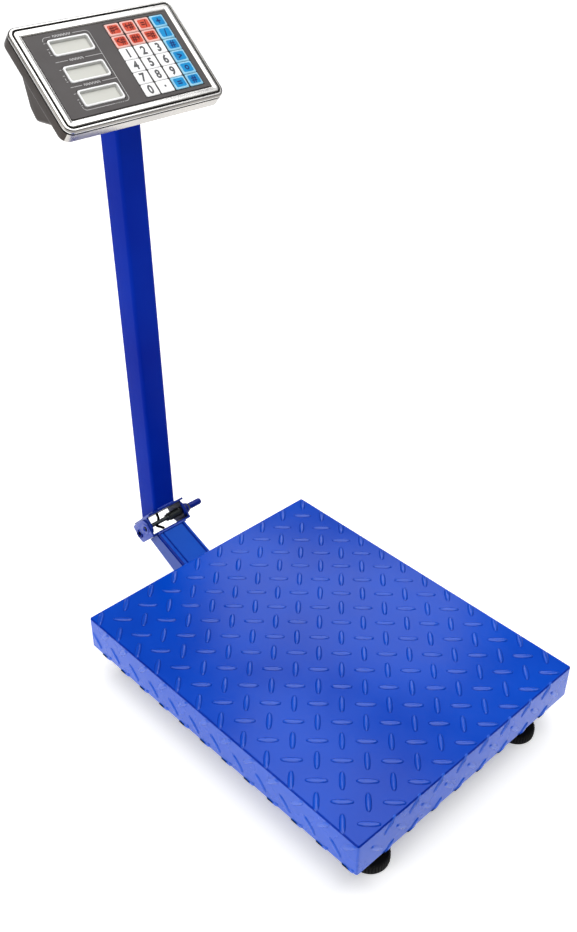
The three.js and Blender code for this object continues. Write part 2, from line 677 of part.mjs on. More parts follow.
add(hinge, 'latch_rod', latchRod(), zinc);
add(hinge, 'latch_plate', latchPlate(), zinc);
add(hinge, 'release_handle', releaseHandle(), bluePaint);
add(hinge, 'latch_spring', latchSpring(), steel);
add(hinge, 'column_bracket', columnBracket(), bluePaint);
add(scale, 'column_tube', columnTube(), bluePaint);
add(scale, 'signal_cable_base', cableInBase(), blackPlastic);
add(scale, 'signal_cable_loop', cableLoop(), blackPlastic);
add(scale, 'signal_cable_column', cableInColumn(), blackPlastic);

add(head, 'head_front_cover', frontCover(), steel);
add(head, 'head_rear_shell', rearShell(), steel);
add(head, 'face_panel', facePanel(), greyPanel);
['weight_display', 'unit_weight_display', 'count_display'].forEach((name, i) => {
  add(head, name, displayModule(WINDOW_CENTRES[i]), whitePlastic);
});
const [boardX, boardU, boardBack, boardFront] = BOARD;
add(head, 'circuit_board', block(-boardX, boardX, -boardU, boardU, boardBack, boardFront), greenBoard);
add(head, 'battery', block(...BATTERY_X, ...BATTERY_U, ...BATTERY_N), blackPlastic);
add(under, 'head_bracket', headBracket(), zinc);
add(under, 'switch_housing', switchHousing(), blackPlastic);
add(under, 'charging_inlet', chargingInlet(), blackPlastic);
const power = add(under, 'power_switch', rocker(), blackPlastic);
power.position.set(SWITCH_AT[0], SWITCH_AT[1], ROCKER_PIVOT);
power.rotation.x = -ROCKER_TILT;

for (let row = 0; row < KEY_ROWS; row += 1) {
  for (let column = 0; column < KEY_COLUMNS; column += 1) {
    const lastTwo = row === KEY_ROWS - 1 && column === KEY_COLUMNS - 2;
    const blue = column === KEY_COLUMNS - 1 || lastTwo;
    const finish = blue ? blueKey : (row < 2 ? redKey : whitePlastic);
    add(head, `key_row${row + 1}_column${column + 1}`, key(row, column), finish);
  }
}

// the origin is the middle of the footprint, on the floor
scale.updateMatrixWorld(true);
const extent = new THREE.Box3().setFromObject(scale, true);
scale.position.y = -(extent.min.y + extent.max.y) / 2;

export default scale;
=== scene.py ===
"""The looks of a folding platform shipping scale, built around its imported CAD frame. Metres, +Z up."""
import json
import math
import random

import bmesh
import bpy
from mathutils import Matrix, Vector


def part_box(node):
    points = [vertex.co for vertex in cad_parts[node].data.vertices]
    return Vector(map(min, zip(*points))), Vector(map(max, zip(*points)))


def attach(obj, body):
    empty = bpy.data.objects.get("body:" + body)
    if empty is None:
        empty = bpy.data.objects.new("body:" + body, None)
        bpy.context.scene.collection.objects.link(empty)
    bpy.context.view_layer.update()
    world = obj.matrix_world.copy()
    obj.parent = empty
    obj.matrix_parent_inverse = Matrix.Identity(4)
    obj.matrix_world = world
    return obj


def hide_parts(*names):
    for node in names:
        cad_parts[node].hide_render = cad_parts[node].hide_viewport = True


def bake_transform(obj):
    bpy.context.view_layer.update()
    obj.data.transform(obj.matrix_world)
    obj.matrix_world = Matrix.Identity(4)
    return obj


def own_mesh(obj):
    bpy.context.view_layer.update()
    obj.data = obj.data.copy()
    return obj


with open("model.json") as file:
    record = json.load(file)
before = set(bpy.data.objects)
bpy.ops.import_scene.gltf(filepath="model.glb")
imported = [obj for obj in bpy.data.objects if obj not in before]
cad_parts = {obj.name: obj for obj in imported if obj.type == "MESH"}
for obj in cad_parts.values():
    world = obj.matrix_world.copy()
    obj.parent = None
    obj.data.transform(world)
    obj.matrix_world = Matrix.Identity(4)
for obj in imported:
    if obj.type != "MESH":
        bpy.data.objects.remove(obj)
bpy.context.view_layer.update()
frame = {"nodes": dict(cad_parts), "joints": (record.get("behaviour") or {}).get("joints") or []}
random.seed(7)

MM = 0.001

# ---------------------------------------------------------------- places, from the frame
cover_lo, cover_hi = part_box("platform_cover")
PLATE_Y = (cover_lo.y + cover_hi.y) / 2
HALF_X = (cover_hi.x - cover_lo.x) / 2
HALF_Y = (cover_hi.y - cover_lo.y) / 2
TOP = cover_hi.z
SKIRT_LOW = cover_lo.z

joints = {joint["name"]: joint for joint in frame["joints"]}
PIVOT = Vector(joints["column_fold"]["pos_m"])
HINGE = Matrix.Translation(PIVOT) @ Matrix.Rotation(math.radians(-45), 4, "X")
COLUMN_LEAN = math.radians(2.17)
COLUMN_FOOT_Y = PLATE_Y + 352.4 * MM
COLUMN = Matrix.Translation((0, COLUMN_FOOT_Y, TOP)) @ Matrix.Rotation(-COLUMN_LEAN, 4, "X")
HEAD_TILT = math.radians(40.83)
HEAD = Matrix.Translation((0, PLATE_Y + 363.8 * MM, 772.8 * MM)) @ Matrix.Rotation(HEAD_TILT, 4, "X")
UNDER = HEAD @ Matrix.Translation((0, -26.2 * MM, -48.8 * MM)) @ Matrix.Rotation(math.radians(135), 4, "X")
CORNER_SEGMENTS = 10

# the eye stands left of the scale, in front of it and above it
EYE = (-0.7739, PLATE_Y - 0.7263, 1.1166)
EYE_AZIMUTH = math.radians(44.07)
EYE_ELEVATION = math.radians(34.683)
EYE_ROLL = math.radians(0.70)
LENS = 42.35


# ---------------------------------------------------------------- camera, light and floor
def make_camera():
    data = bpy.data.cameras.new("camera")
    camera = bpy.data.objects.new("camera", data)
    bpy.context.collection.objects.link(camera)
    level = Vector((math.sin(EYE_AZIMUTH), math.cos(EYE_AZIMUTH), 0))
    ahead = level * math.cos(EYE_ELEVATION) - Vector((0, 0, math.sin(EYE_ELEVATION)))
    right = Vector((level.y, -level.x, 0))
    up = right.cross(ahead)
    right, up = (
        right * math.cos(EYE_ROLL) + up * math.sin(EYE_ROLL),
        up * math.cos(EYE_ROLL) - right * math.sin(EYE_ROLL),
    )
    turn = Matrix((right, up, -ahead)).transposed().to_4x4()
    camera.matrix_world = Matrix.Translation(EYE) @ turn
    data.lens = LENS
    data.sensor_width = 36
    data.clip_end = 50
    bpy.context.scene.camera = camera


def area_light(name, place, aim, width, height, power):
    data = bpy.data.lights.new(name, "AREA")
    data.shape = "RECTANGLE"
    data.size = width
    data.size_y = height
    data.energy = power
    light = bpy.data.objects.new(name, data)
    bpy.context.collection.objects.link(light)
    light.location = place
    light.rotation_euler = (Vector(aim) - Vector(place)).to_track_quat("-Z", "Y").to_euler()
    return light


def make_floor():
    """A white floor that glows more with distance, so that it fades into a white background."""
    bpy.ops.mesh.primitive_plane_add(size=30, location=(0, 0, 0))
    floor = bpy.context.object
    floor.name = "studio_floor"
    white = simple_material("studio_white", (0.92, 0.92, 0.92), 0.9)
    tree, glow = nodes_of(white)
    glow.inputs["Emission Color"].default_value = (1, 1, 1, 1)
    reach = tree.nodes.new("ShaderNodeVectorMath")
    reach.operation = "LENGTH"
    tree.links.new(object_coordinates(tree), reach.inputs[0])
    far = tree.nodes.new("ShaderNodeMapRange")
    for socket, value in (("From Min", 1.5), ("From Max", 6.0), ("To Min", 0.40), ("To Max", 1.0)):
        far.inputs[socket].default_value = value
    tree.links.new(reach.outputs["Value"], far.inputs["Value"])
    tree.links.new(far.outputs["Result"], glow.inputs["Emission Strength"])
    floor.data.materials.append(white)


def make_studio():
    scene = bpy.context.scene
    scene.view_settings.view_transform = "Standard"
    world = bpy.data.worlds.new("studio")
    scene.world = world
    world.use_nodes = True
    background = world.node_tree.nodes["Background"]
    background.inputs["Color"].default_value = (0.96, 0.97, 1.0, 1)
    background.inputs["Strength"].default_value = 0.16
    make_floor()
    overhead = area_light("overhead", (-0.08, -0.08, 3.6), (0, 0, 0), 4.4, 4.4, 150)
    overhead.rotation_euler.rotate_axis("Z", math.radians(45))
    area_light("behind_platform", (1.80, 1.36, 1.98), (0.08, -0.04, 0.1), 1.45, 0.95, 10)
    area_light("right_of_head", (1.75, -1.15, 2.65), (0, 0.2, 0.75), 1.8, 1.8, 7)
    area_light("left_soft", (-2.6, 0.6, 1.1), (0, 0.2, 0.5), 1.4, 1.6, 20)


# ---------------------------------------------------------------- materials
MATERIALS = {}
FINE_GRAIN = 300.0
COARSE_GRAIN = 420.0
FILM_GRAIN = 520.0
BRUSH_GRAIN = 260.0
ORANGE_PEEL = 170.0
KEY_BLOTCH = 60.0
DULL_GLOSS = 0.15


def simple_material(name, colour, roughness, metallic=0.0):
    material = bpy.data.materials.new(name)
    material.use_nodes = True
    shader = material.node_tree.nodes["Principled BSDF"]
    shader.inputs["Base Color"].default_value = (*colour, 1)
    shader.inputs["Roughness"].default_value = roughness
    shader.inputs["Metallic"].default_value = metallic
    return material


def nodes_of(material):
    tree = material.node_tree
    return tree, tree.nodes["Principled BSDF"]


def object_coordinates(tree, scale=(1, 1, 1)):
    coordinates = tree.nodes.new("ShaderNodeTexCoord")
    mapping = tree.nodes.new("ShaderNodeMapping")
    mapping.inputs["Scale"].default_value = scale
    tree.links.new(coordinates.outputs["Object"], mapping.inputs["Vector"])
    return mapping.outputs["Vector"]


def noise(tree, vector, scale, detail=3.0):
    texture = tree.nodes.new("ShaderNodeTexNoise")
    texture.inputs["Scale"].default_value = scale
    texture.inputs["Detail"].default_value = detail
    tree.links.new(vector, texture.inputs["Vector"])
    return texture.outputs["Fac"]


def spread(tree, value, low, high):
    """The value, which runs from about 0.3 to 0.7, spread from low to high."""
    ramp = tree.nodes.new("ShaderNodeMapRange")
    ramp.inputs["From Min"].default_value = 0.3
    ramp.inputs["From Max"].default_value = 0.7
    ramp.inputs["To Min"].default_value = low
    ramp.inputs["To Max"].default_value = high
    tree.links.new(value, ramp.inputs["Value"])
    return ramp.outputs["Result"]


def tint(tree, value, dark, light):
    mix = tree.nodes.new("ShaderNodeMix")
    mix.data_type = "RGBA"
    mix.inputs["A"].default_value = (*dark, 1)
    mix.inputs["B"].default_value = (*light, 1)
    tree.links.new(spread(tree, value, 0, 1), mix.inputs["Factor"])
    return mix.outputs["Result"]


def bump(tree, shader, value, strength, distance):
    node = tree.nodes.new("ShaderNodeBump")
    node.inputs["Strength"].default_value = strength
    node.inputs["Distance"].default_value = distance
    tree.links.new(value, node.inputs["Height"])
    tree.links.new(node.outputs["Normal"], shader.inputs["Normal"])


def textured(name, dark, light, roughness, grain_depth, grain=FINE_GRAIN, metallic=0.0, blotch=14.0,
             stretch=(1, 1, 1)):
    """A finish whose colour drifts in soft blotches, whose gloss varies, and whose surface has a grain."""
    material = simple_material(name, light, roughness[0], metallic)
    tree, shader = nodes_of(material)
    vector = object_coordinates(tree, stretch)
    drift = noise(tree, vector, blotch)
    tree.links.new(tint(tree, drift, dark, light), shader.inputs["Base Color"])
    gloss = noise(tree, vector, blotch * 4)
    tree.links.new(spread(tree, gloss, *roughness), shader.inputs["Roughness"])
    bump(tree, shader, noise(tree, vector, grain, 2.0), 0.25, grain_depth)
    MATERIALS[name] = material
    return material


def paint(name, dark, light, roughness=(0.25, 0.36), gloss=0.3, coat=0.0, depth=0.0004):
    """Powder coat with a faint orange peel; gloss and coat say how much of the room shows in it."""
    shader = nodes_of(textured(name, dark, light, roughness, depth, ORANGE_PEEL, blotch=6.0))[1]
    shader.inputs["Specular IOR Level"].default_value = gloss
    shader.inputs["Coat Weight"].default_value = coat
    shader.inputs["Coat Roughness"].default_value = 0.14
    shader.inputs["Coat IOR"].default_value = 1.6


def brushed(name, dark, light, roughness, stretch):
    """Bare metal with a grain drawn out along one axis."""
    textured(name, dark, light, roughness, 0.00006, BRUSH_GRAIN, metallic=1.0, blotch=3.0, stretch=stretch)


# powder coats
paint("plate_top", (0.0, 0.046, 0.44), (0.0, 0.068, 0.55), (0.18, 0.24), gloss=0.24, depth=0.0001)
# painted shade: a darker copy of the plate paint for the bends, standing in for their dark reflection, and
# for the foot of each bar on top
paint("plate_painted_shade", (0.0, 0.022, 0.30), (0.0, 0.036, 0.40), gloss=0.05)
# partly painted highlight: the bars on top take a slightly lighter copy of the plate paint; their higher
# gloss and coat are a finish
paint("plate_bar_lit", (0.0, 0.052, 0.46), (0.0, 0.076, 0.58), (0.18, 0.26), 0.34, 0.15)
# painted light: the skirts take a lighter, greyer copy of the plate paint, standing in for the light the
# white floor throws up onto them
paint("skirt_bar_lit", (0.004, 0.085, 0.60), (0.02, 0.12, 0.70), (0.2, 0.3), 0.36, 0.1)
paint("plate_skirt_lit", (0.004, 0.080, 0.58), (0.018, 0.11, 0.68), (0.2, 0.32), 0.36, 0.1)
# painted shade: a darker copy of the blue paint, standing in for the shade on the column's faces; the rod's
# end cap takes it too
paint("column_paint_shaded", (0.0, 0.013, 0.29), (0.0, 0.024, 0.37), (0.3, 0.4), 0.03)
paint("arm_paint", (0.0, 0.048, 0.40), (0.004, 0.075, 0.48), gloss=0.08)
# painted shade and reflection: the arm's side walls take a darker, greyer copy of its blue paint
paint("arm_side_shaded", (0.02, 0.06, 0.33), (0.04, 0.09, 0.40), gloss=0.2)
# painted light: a lighter copy of the blue paint for the hinge's faces turned to -X, where the light falls
paint("ear_paint_lit", (0.015, 0.055, 0.38), (0.04, 0.08, 0.46), gloss=0.36, coat=0.15)
# painted shade: a dark copy of the blue paint for the hinge brackets, standing in for the shade over the
# hinge
paint("bracket_paint_shaded", (0.0, 0.010, 0.14), (0.002, 0.022, 0.24), (0.25, 0.35), 0.2)
# painted shade: a near-black copy of the arm's blue paint for the groove, the step between channel and tube,
# and the faces turned to +X
paint("arm_painted_shade", (0.0, 0.012, 0.20), (0.0, 0.022, 0.28), gloss=0.05)
# painted shade: a near-black copy of the blue paint for the brackets' faces turned in to the hinge's gap
paint("ear_inside_shade", (0.0, 0.003, 0.035), (0.001, 0.006, 0.06), (0.4, 0.5), 0.1)
paint("pin_paint", (0.0, 0.008, 0.16), (0.0, 0.014, 0.24), gloss=0.2)
paint("frame_paint", (0.012, 0.012, 0.014), (0.024, 0.024, 0.028), (0.4, 0.55))

# metals
brushed("stainless", (0.66, 0.65, 0.635), (0.76, 0.75, 0.735), (0.20, 0.28), (3, 1, 1))
# painted shade: a darker copy of the stainless for the bezel's steep rolls, standing in for their shade and
# dark reflections
brushed("stainless_shaded", (0.26, 0.245, 0.225), (0.38, 0.36, 0.335), (0.24, 0.34), (3, 1, 1))
brushed("shell_steel", (0.46, 0.44, 0.41), (0.62, 0.59, 0.55), (0.24, 0.34), (3, 1, 1))
# painted shade: a dark copy of the shell's steel for its faces turned to the sides, standing in for the dark
# surroundings they reflect
brushed("shell_side_shaded", (0.028, 0.022, 0.020), (0.068, 0.056, 0.050), (0.26, 0.40), (1, 3, 1))
textured("zinc", (0.38, 0.38, 0.40), (0.58, 0.58, 0.60), (0.25, 0.4), 0.00005, metallic=1.0)
textured("dark_steel", (0.03, 0.035, 0.035), (0.09, 0.10, 0.10), (0.3, 0.45), 0.0001, metallic=0.8)
brushed("aluminium", (0.60, 0.60, 0.61), (0.74, 0.74, 0.75), (0.3, 0.4), (1, 30, 1))

# plastics, rubber and print
textured("black_plastic", (0.006, 0.006, 0.007), (0.016, 0.016, 0.018), (0.4, 0.6), 0.0002, COARSE_GRAIN)
textured("foot_rubber", (0.002, 0.002, 0.002), (0.005, 0.005, 0.006), (0.5, 0.7), 0.0002, COARSE_GRAIN)
textured("gasket", (0.004, 0.004, 0.004), (0.012, 0.012, 0.012), (0.6, 0.8), 0.0001)
textured("panel_film", (0.046, 0.040, 0.040), (0.062, 0.054, 0.053), (0.45, 0.58), 0.00005, FILM_GRAIN)
textured("print_grey", (0.42, 0.41, 0.41), (0.60, 0.59, 0.59), (0.5, 0.6), 0.00002)
textured("white_plastic", (0.80, 0.80, 0.80), (0.90, 0.90, 0.90), (0.25, 0.35), 0.00004)
textured("lcd_glass", (0.52, 0.52, 0.47), (0.60, 0.60, 0.55), (0.12, 0.18), 0.00001, 200.0, blotch=3.0)
# painted shade: a greyer copy of the frame's white for its sloped inner wall
textured("window_wall_shaded", (0.50, 0.50, 0.48), (0.60, 0.60, 0.58), (0.4, 0.5), 0.00003)
# painted shadow: a darker line round the screen, where the frame's wall shades it
textured("lcd_edge_shadow", (0.30, 0.30, 0.28), (0.40, 0.40, 0.37), (0.4, 0.5), 0.00002, 200.0)

# keys
textured("key_white", (0.84, 0.84, 0.85), (0.92, 0.92, 0.92), (0.3, 0.4), 0.00003)
textured("key_ink", (0.035, 0.035, 0.038), (0.07, 0.07, 0.075), (0.4, 0.5), 0.00001)
textured("key_red", (0.55, 0.050, 0.022), (0.68, 0.11, 0.060), (0.3, 0.4), 0.00003, blotch=KEY_BLOTCH)
textured("key_red_rim", (0.72, 0.36, 0.31), (0.82, 0.50, 0.45), (0.3, 0.4), 0.00003, blotch=KEY_BLOTCH)
textured("key_red_ink", (0.10, 0.006, 0.004), (0.16, 0.012, 0.006), (0.4, 0.5), 0.00001)
textured("key_blue", (0.0, 0.19, 0.48), (0.004, 0.27, 0.60), (0.3, 0.4), 0.00003, blotch=KEY_BLOTCH)
textured("key_blue_rim", (0.16, 0.46, 0.68), (0.30, 0.60, 0.76), (0.3, 0.4), 0.00003, blotch=KEY_BLOTCH)
textured("key_blue_ink", (0.0, 0.025, 0.14), (0.0, 0.045, 0.22), (0.4, 0.5), 0.00001)

# board and weld
textured("board", (0.01, 0.08, 0.035), (0.02, 0.14, 0.06), (0.3, 0.4), 0.00005)
textured("weld", (0.0, 0.03, 0.34), (0.005, 0.05, 0.44), (0.2, 0.3), 0.0006, 220.0)

for dull in ("foot_rubber", "gasket", "key_red", "key_blue", "key_red_ink", "key_blue_ink"):
    nodes_of(MATERIALS[dull])[1].inputs["Specular IOR Level"].default_value = DULL_GLOSS


# ---------------------------------------------------------------- mesh helpers
def shade(mesh, degrees=32):
    """Smooth faces, with the edges sharper than the angle kept crisp."""
    angle = math.radians(degrees)
    bm = bmesh.new()
    bm.from_mesh(mesh)
    for face in bm.faces:
        face.smooth = True
    for edge in bm.edges:
        edge.smooth = len(edge.link_faces) == 2 and edge.calc_face_angle(0) < angle
    bm.to_mesh(mesh)
    bm.free()


def make_object(name, verts, faces, material_names, face_materials=None, place=Matrix(), angle=32):
    mesh = bpy.data.meshes.new(name)
    mesh.from_pydata([place @ Vector(v) for v in verts], [], faces)
    for material_name in material_names:
        mesh.materials.append(MATERIALS[material_name])
    if face_materials:
        mesh.polygons.foreach_set("material_index", face_materials)
    bm = bmesh.new()
    bm.from_mesh(mesh)
    bmesh.ops.recalc_face_normals(bm, faces=bm.faces)
    bm.to_mesh(mesh)
    bm.free()
    shade(mesh, angle)
    obj = bpy.data.objects.new(name, mesh)
    bpy.context.collection.objects.link(obj)
    return obj


def settle(obj, body, slot, *nodes):
    """The piece rides on a body and may stand for CAD nodes; slot is not used."""
    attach(obj, body)
    if nodes:
        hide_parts(*nodes)
    return obj


class Mesh:
    """Vertices and faces gathered for one piece, with a material index for each face."""

    def __init__(self):
        self.verts = []
        self.faces = []
        self.paints = []

    def add(self, verts, faces, paint_index=0, place=Matrix()):
        start = len(self.verts)
        self.verts += [place @ Vector(v) for v in verts]
        self.faces += [[start + i for i in face] for face in faces]
        self.paints += [paint_index] * len(faces)

    def loft(self, loops, paints=0, closed=False, place=Matrix()):
        """Skins loops of equal length. paints is one index, or one for each band. Open ends are capped."""
        count = len(loops[0])
        bands = len(loops) if closed else len(loops) - 1
        if not isinstance(paints, list):
            paints = [paints] * bands
        start = len(self.verts)
        self.verts += [place @ Vector(v) for loop in loops for v in loop]
        for band in range(bands):
            low = start + band * count
            high = start + (band + 1) % len(loops) * count
            self.faces += [
                [low + i, low + (i + 1) % count, high + (i + 1) % count, high + i]
                for i in range(count)
            ]
            self.paints += [paints[band]] * count
        if not closed:
            self.faces.append([start + i for i in range(count)][::-1])
            self.faces.append([start + (len(loops) - 1) * count + i for i in range(count)])
            self.paints += [paints[0], paints[-1]]

    def make(self, name, material_names, angle=32):
        return make_object(name, self.verts, self.faces, material_names, self.paints, angle=angle)


def rounded_loop(half_x, half_y, radius, z, centre=(0, 0), segments=CORNER_SEGMENTS):
    """A rounded rectangle, counter-clockwise."""
    loop = []
    radius = max(radius, 0.00005)
    for quarter, (sx, sy) in enumerate(((1, -1), (1, 1), (-1, 1), (-1, -1))):
        for step in range(segments + 1):
            angle = math.radians(-90 + 90 * quarter + 90 * step / segments)
            loop.append((
                centre[0] + sx * (half_x - radius) + radius * math.cos(angle),
                centre[1] + sy * (half_y - radius) + radius * math.sin(angle),
                z,
            ))
    return loop


def round_the_clock(sides):
    return [2 * math.pi * i / sides for i in range(sides)]


def turned(mesh, profile, sides, place):
    """A turned solid, or a prism when sides is small. profile is a list of (radius, height)."""
    mesh.loft([
        [(radius * math.cos(a), radius * math.sin(a), height) for a in round_the_clock(sides)]
        for radius, height in profile
    ], place=place)


def in_mm(pairs):
    return [(first * MM, second * MM) for first, second in pairs]


def sweep(mesh, path, radii, sides):
    """A round section carried along a path without twist, with a radius at each point."""
    normal = (path[1] - path[0]).orthogonal().normalized()
    loops = []
    for i, (point, radius) in enumerate(zip(path, radii)):
        ahead = (path[min(i + 1, len(path) - 1)] - path[max(i - 1, 0)]).normalized()
        normal = (normal - ahead * normal.dot(ahead)).normalized()
        side = ahead.cross(normal)
        loops.append([
            point + radius * (math.cos(a) * normal + math.sin(a) * side) for a in round_the_clock(sides)])
    mesh.loft(loops)


def tube(mesh, points, radius, sides=10):
    """A round tube along points, with closed ends."""
    path = [Vector(p) for p in points]
    sweep(mesh, path, [radius] * len(path), sides)


def smooth_path(points, steps):
    """Catmull-Rom through the points."""
    points = [Vector(p) for p in points]
    padded = [2 * points[0] - points[1], *points, 2 * points[-1] - points[-2]]
    path = []
    for i in range(len(points) - 1):
        a, b, c, d = padded[i:i + 4]
        for step in range(steps):
            t = step / steps
            path.append(0.5 * (
                2 * b + (c - a) * t + (2 * a - 5 * b + 4 * c - d) * t * t
                + (3 * b - a - 3 * c + d) * t ** 3))
    path.append(points[-1])
    return path


def combine(obj, others, operation):
    """Joins the others to the object, or cuts them out of it, and deletes them."""
    for other in others:
        modifier = obj.modifiers.new("combine", "BOOLEAN")
        modifier.operation = operation
        modifier.solver = "EXACT"
        modifier.object = other
    bpy.context.view_layer.update()
    evaluated = obj.evaluated_get(bpy.context.evaluated_depsgraph_get())
    mesh = bpy.data.meshes.new_from_object(evaluated)
    obj.modifiers.clear()
    obj.data = mesh
    for other in others:
        bpy.data.objects.remove(other)
    return obj


def carve(obj, cutters):
    shade(combine(obj, cutters, "DIFFERENCE").data)


def fuse(obj, other):
    return combine(obj, [other], "UNION")


def block(name, low, high, material_name="gasket", place=Matrix()):
    x0, y0, z0 = low
    x1, y1, z1 = high
    verts = [(x, y, z) for z in (z0, z1) for x, y in ((x0, y0), (x1, y0), (x1, y1), (x0, y1))]
    faces = [(3, 2, 1, 0), (4, 5, 6, 7), (0, 1, 5, 4), (1, 2, 6, 5), (2, 3, 7, 6), (3, 0, 4, 7)]
    return make_object(name, verts, faces, [material_name], place=place)


SAME_POINT = 0.01 * MM
CREASE = math.radians(35)


def finish_node(node, material_name, bevel=0.0):
    """A CAD node keeps its shape and gets its finish, with softened edges."""
    obj = frame["nodes"][node]
    obj.data.materials.clear()
    obj.data.materials.append(MATERIALS[material_name])
    weld = obj.modifiers.new("weld", "WELD")
    weld.merge_threshold = SAME_POINT
    if bevel:
        modifier = obj.modifiers.new("edges", "BEVEL")
        modifier.width = bevel
        modifier.segments = 2
        modifier.limit_method = "ANGLE"
        modifier.angle_limit = CREASE
        modifier.harden_normals = True
    else:
        modifier = obj.modifiers.new("creases", "EDGE_SPLIT")
        modifier.split_angle = CREASE
    for polygon in obj.data.polygons:
        polygon.use_smooth = True
    return obj


def paint_faces_towards(obj, point, reach, material_name):
    """Faces that look at the point from further off than reach take another material: here the painted shade
    of the faces turned in to the hinge's gap.
    """
    obj.data.materials.append(MATERIALS[material_name])
    index = len(obj.data.materials) - 1
    for polygon in obj.data.polygons:
        if (point - polygon.center).dot(polygon.normal) > reach:
            polygon.material_index = index


# ---------------------------------------------------------------- platform
BEND = 2.5 * MM
BEND_STEPS = 4
SHEET = 2.5 * MM
COVER_CORNER = 3 * MM
BAR_PITCH_X = 42.3 * MM
BAR_PITCH_Y = 41.2 * MM
BAR_AT = (-127.0 * MM, -113.2 * MM)
BAR_LENGTH = 27 * MM
BAR_WIDTH = 7.8 * MM
BAR_HEIGHT = 1.5 * MM
BAR_SIDES = 32
BAR_SQUARENESS = 2 / 2.4
# how far in, as a share of the width, and how high, as a share of the height
BAR_SHOULDER = ((0.0, -0.25), (0.0, 0.0), (0.14, 0.18), (0.28, 0.52), (0.42, 0.80), (0.58, 0.94), (0.76, 1.0))
FLAT_BY_FOLD = 5 * MM
NOTCH_HALF_X = 28 * MM
NOTCH_TOP = SKIRT_LOW + 36 * MM
ON_TOP, ON_SKIRT, PAINTED_SHADE = 0, 1, 2


def fold_down(x, y, rise):
    """Where a point of the flat sheet goes once the four skirts are bent down; None past a corner."""
    over_x = abs(x) - (HALF_X - BEND)
    over_y = abs(y) - (HALF_Y - BEND)
    if over_x > 0 and over_y > 0:
        return None
    if over_x <= 0 and over_y <= 0:
        return Vector((x, PLATE_Y + y, TOP + rise))
    along_x = over_x > 0
    over = over_x if along_x else over_y
    half = (HALF_X if along_x else HALF_Y) - BEND
    arc = BEND * math.pi / 2
    if over < arc:
        angle = over / BEND
        out = half + (BEND + rise) * math.sin(angle)
        height = TOP - BEND + (BEND + rise) * math.cos(angle)
    else:
        out = half + BEND + rise
        height = max(TOP - BEND - (over - arc), SKIRT_LOW)
    if along_x:
        return Vector((math.copysign(out, x), PLATE_Y + y, height))
    return Vector((x, PLATE_Y + math.copysign(out, y), height))


def near_fold(x, y):
    """0 on a fold line, where the press has flattened the pattern, and 1 clear of it."""
    away = min(1.0, abs(abs(x) - HALF_X) / FLAT_BY_FOLD, abs(abs(y) - HALF_Y) / FLAT_BY_FOLD)
    return away * away * (3 - 2 * away)


def tread_bar(mesh, centre, angle, paint_index):
    """One raised bar of the tread pattern, with parallel sides, round ends and soft shoulders."""
    ahead = Vector((math.cos(angle), math.sin(angle)))
    side = Vector((-ahead.y, ahead.x))
    loops = []
    for inset, height in BAR_SHOULDER:
        loop = []
        for turn in round_the_clock(BAR_SIDES):
            cos, sin = math.cos(turn), math.sin(turn)
            reach = math.copysign(abs(cos) ** BAR_SQUARENESS, cos) * (BAR_LENGTH - inset * BAR_WIDTH) / 2
            width = math.copysign(abs(sin) ** BAR_SQUARENESS, sin) * BAR_WIDTH * (1 - inset) / 2
            point = Vector(centre) + ahead * reach + side * width
            rise = height * BAR_HEIGHT * (near_fold(point.x, point.y) if height > 0 else 1)
            place = fold_down(point.x, point.y, rise)
            if place is None:
                return
            loop.append(place)
        loops.append(loop)
    lowest = min(v.z for v in loops[1])
    highest = max(v.z for v in loops[1])
    if highest > SKIRT_LOW + 2 * MM and lowest >= SKIRT_LOW - 1 * MM:
        paints = [paint_index] * (len(loops) - 1)
        # painted shade: the foot of each bar on top is outlined in the darker copy of the paint
        if paint_index == ON_TOP:
            paints[1] = PAINTED_SHADE
        mesh.loft(loops, paints)


def in_notch(x, y):
    """The rear skirt is cut away here for the arm, and no bar may reach into the cut."""
    return y > HALF_Y + 8 * MM and abs(x) < NOTCH_HALF_X + 16 * MM


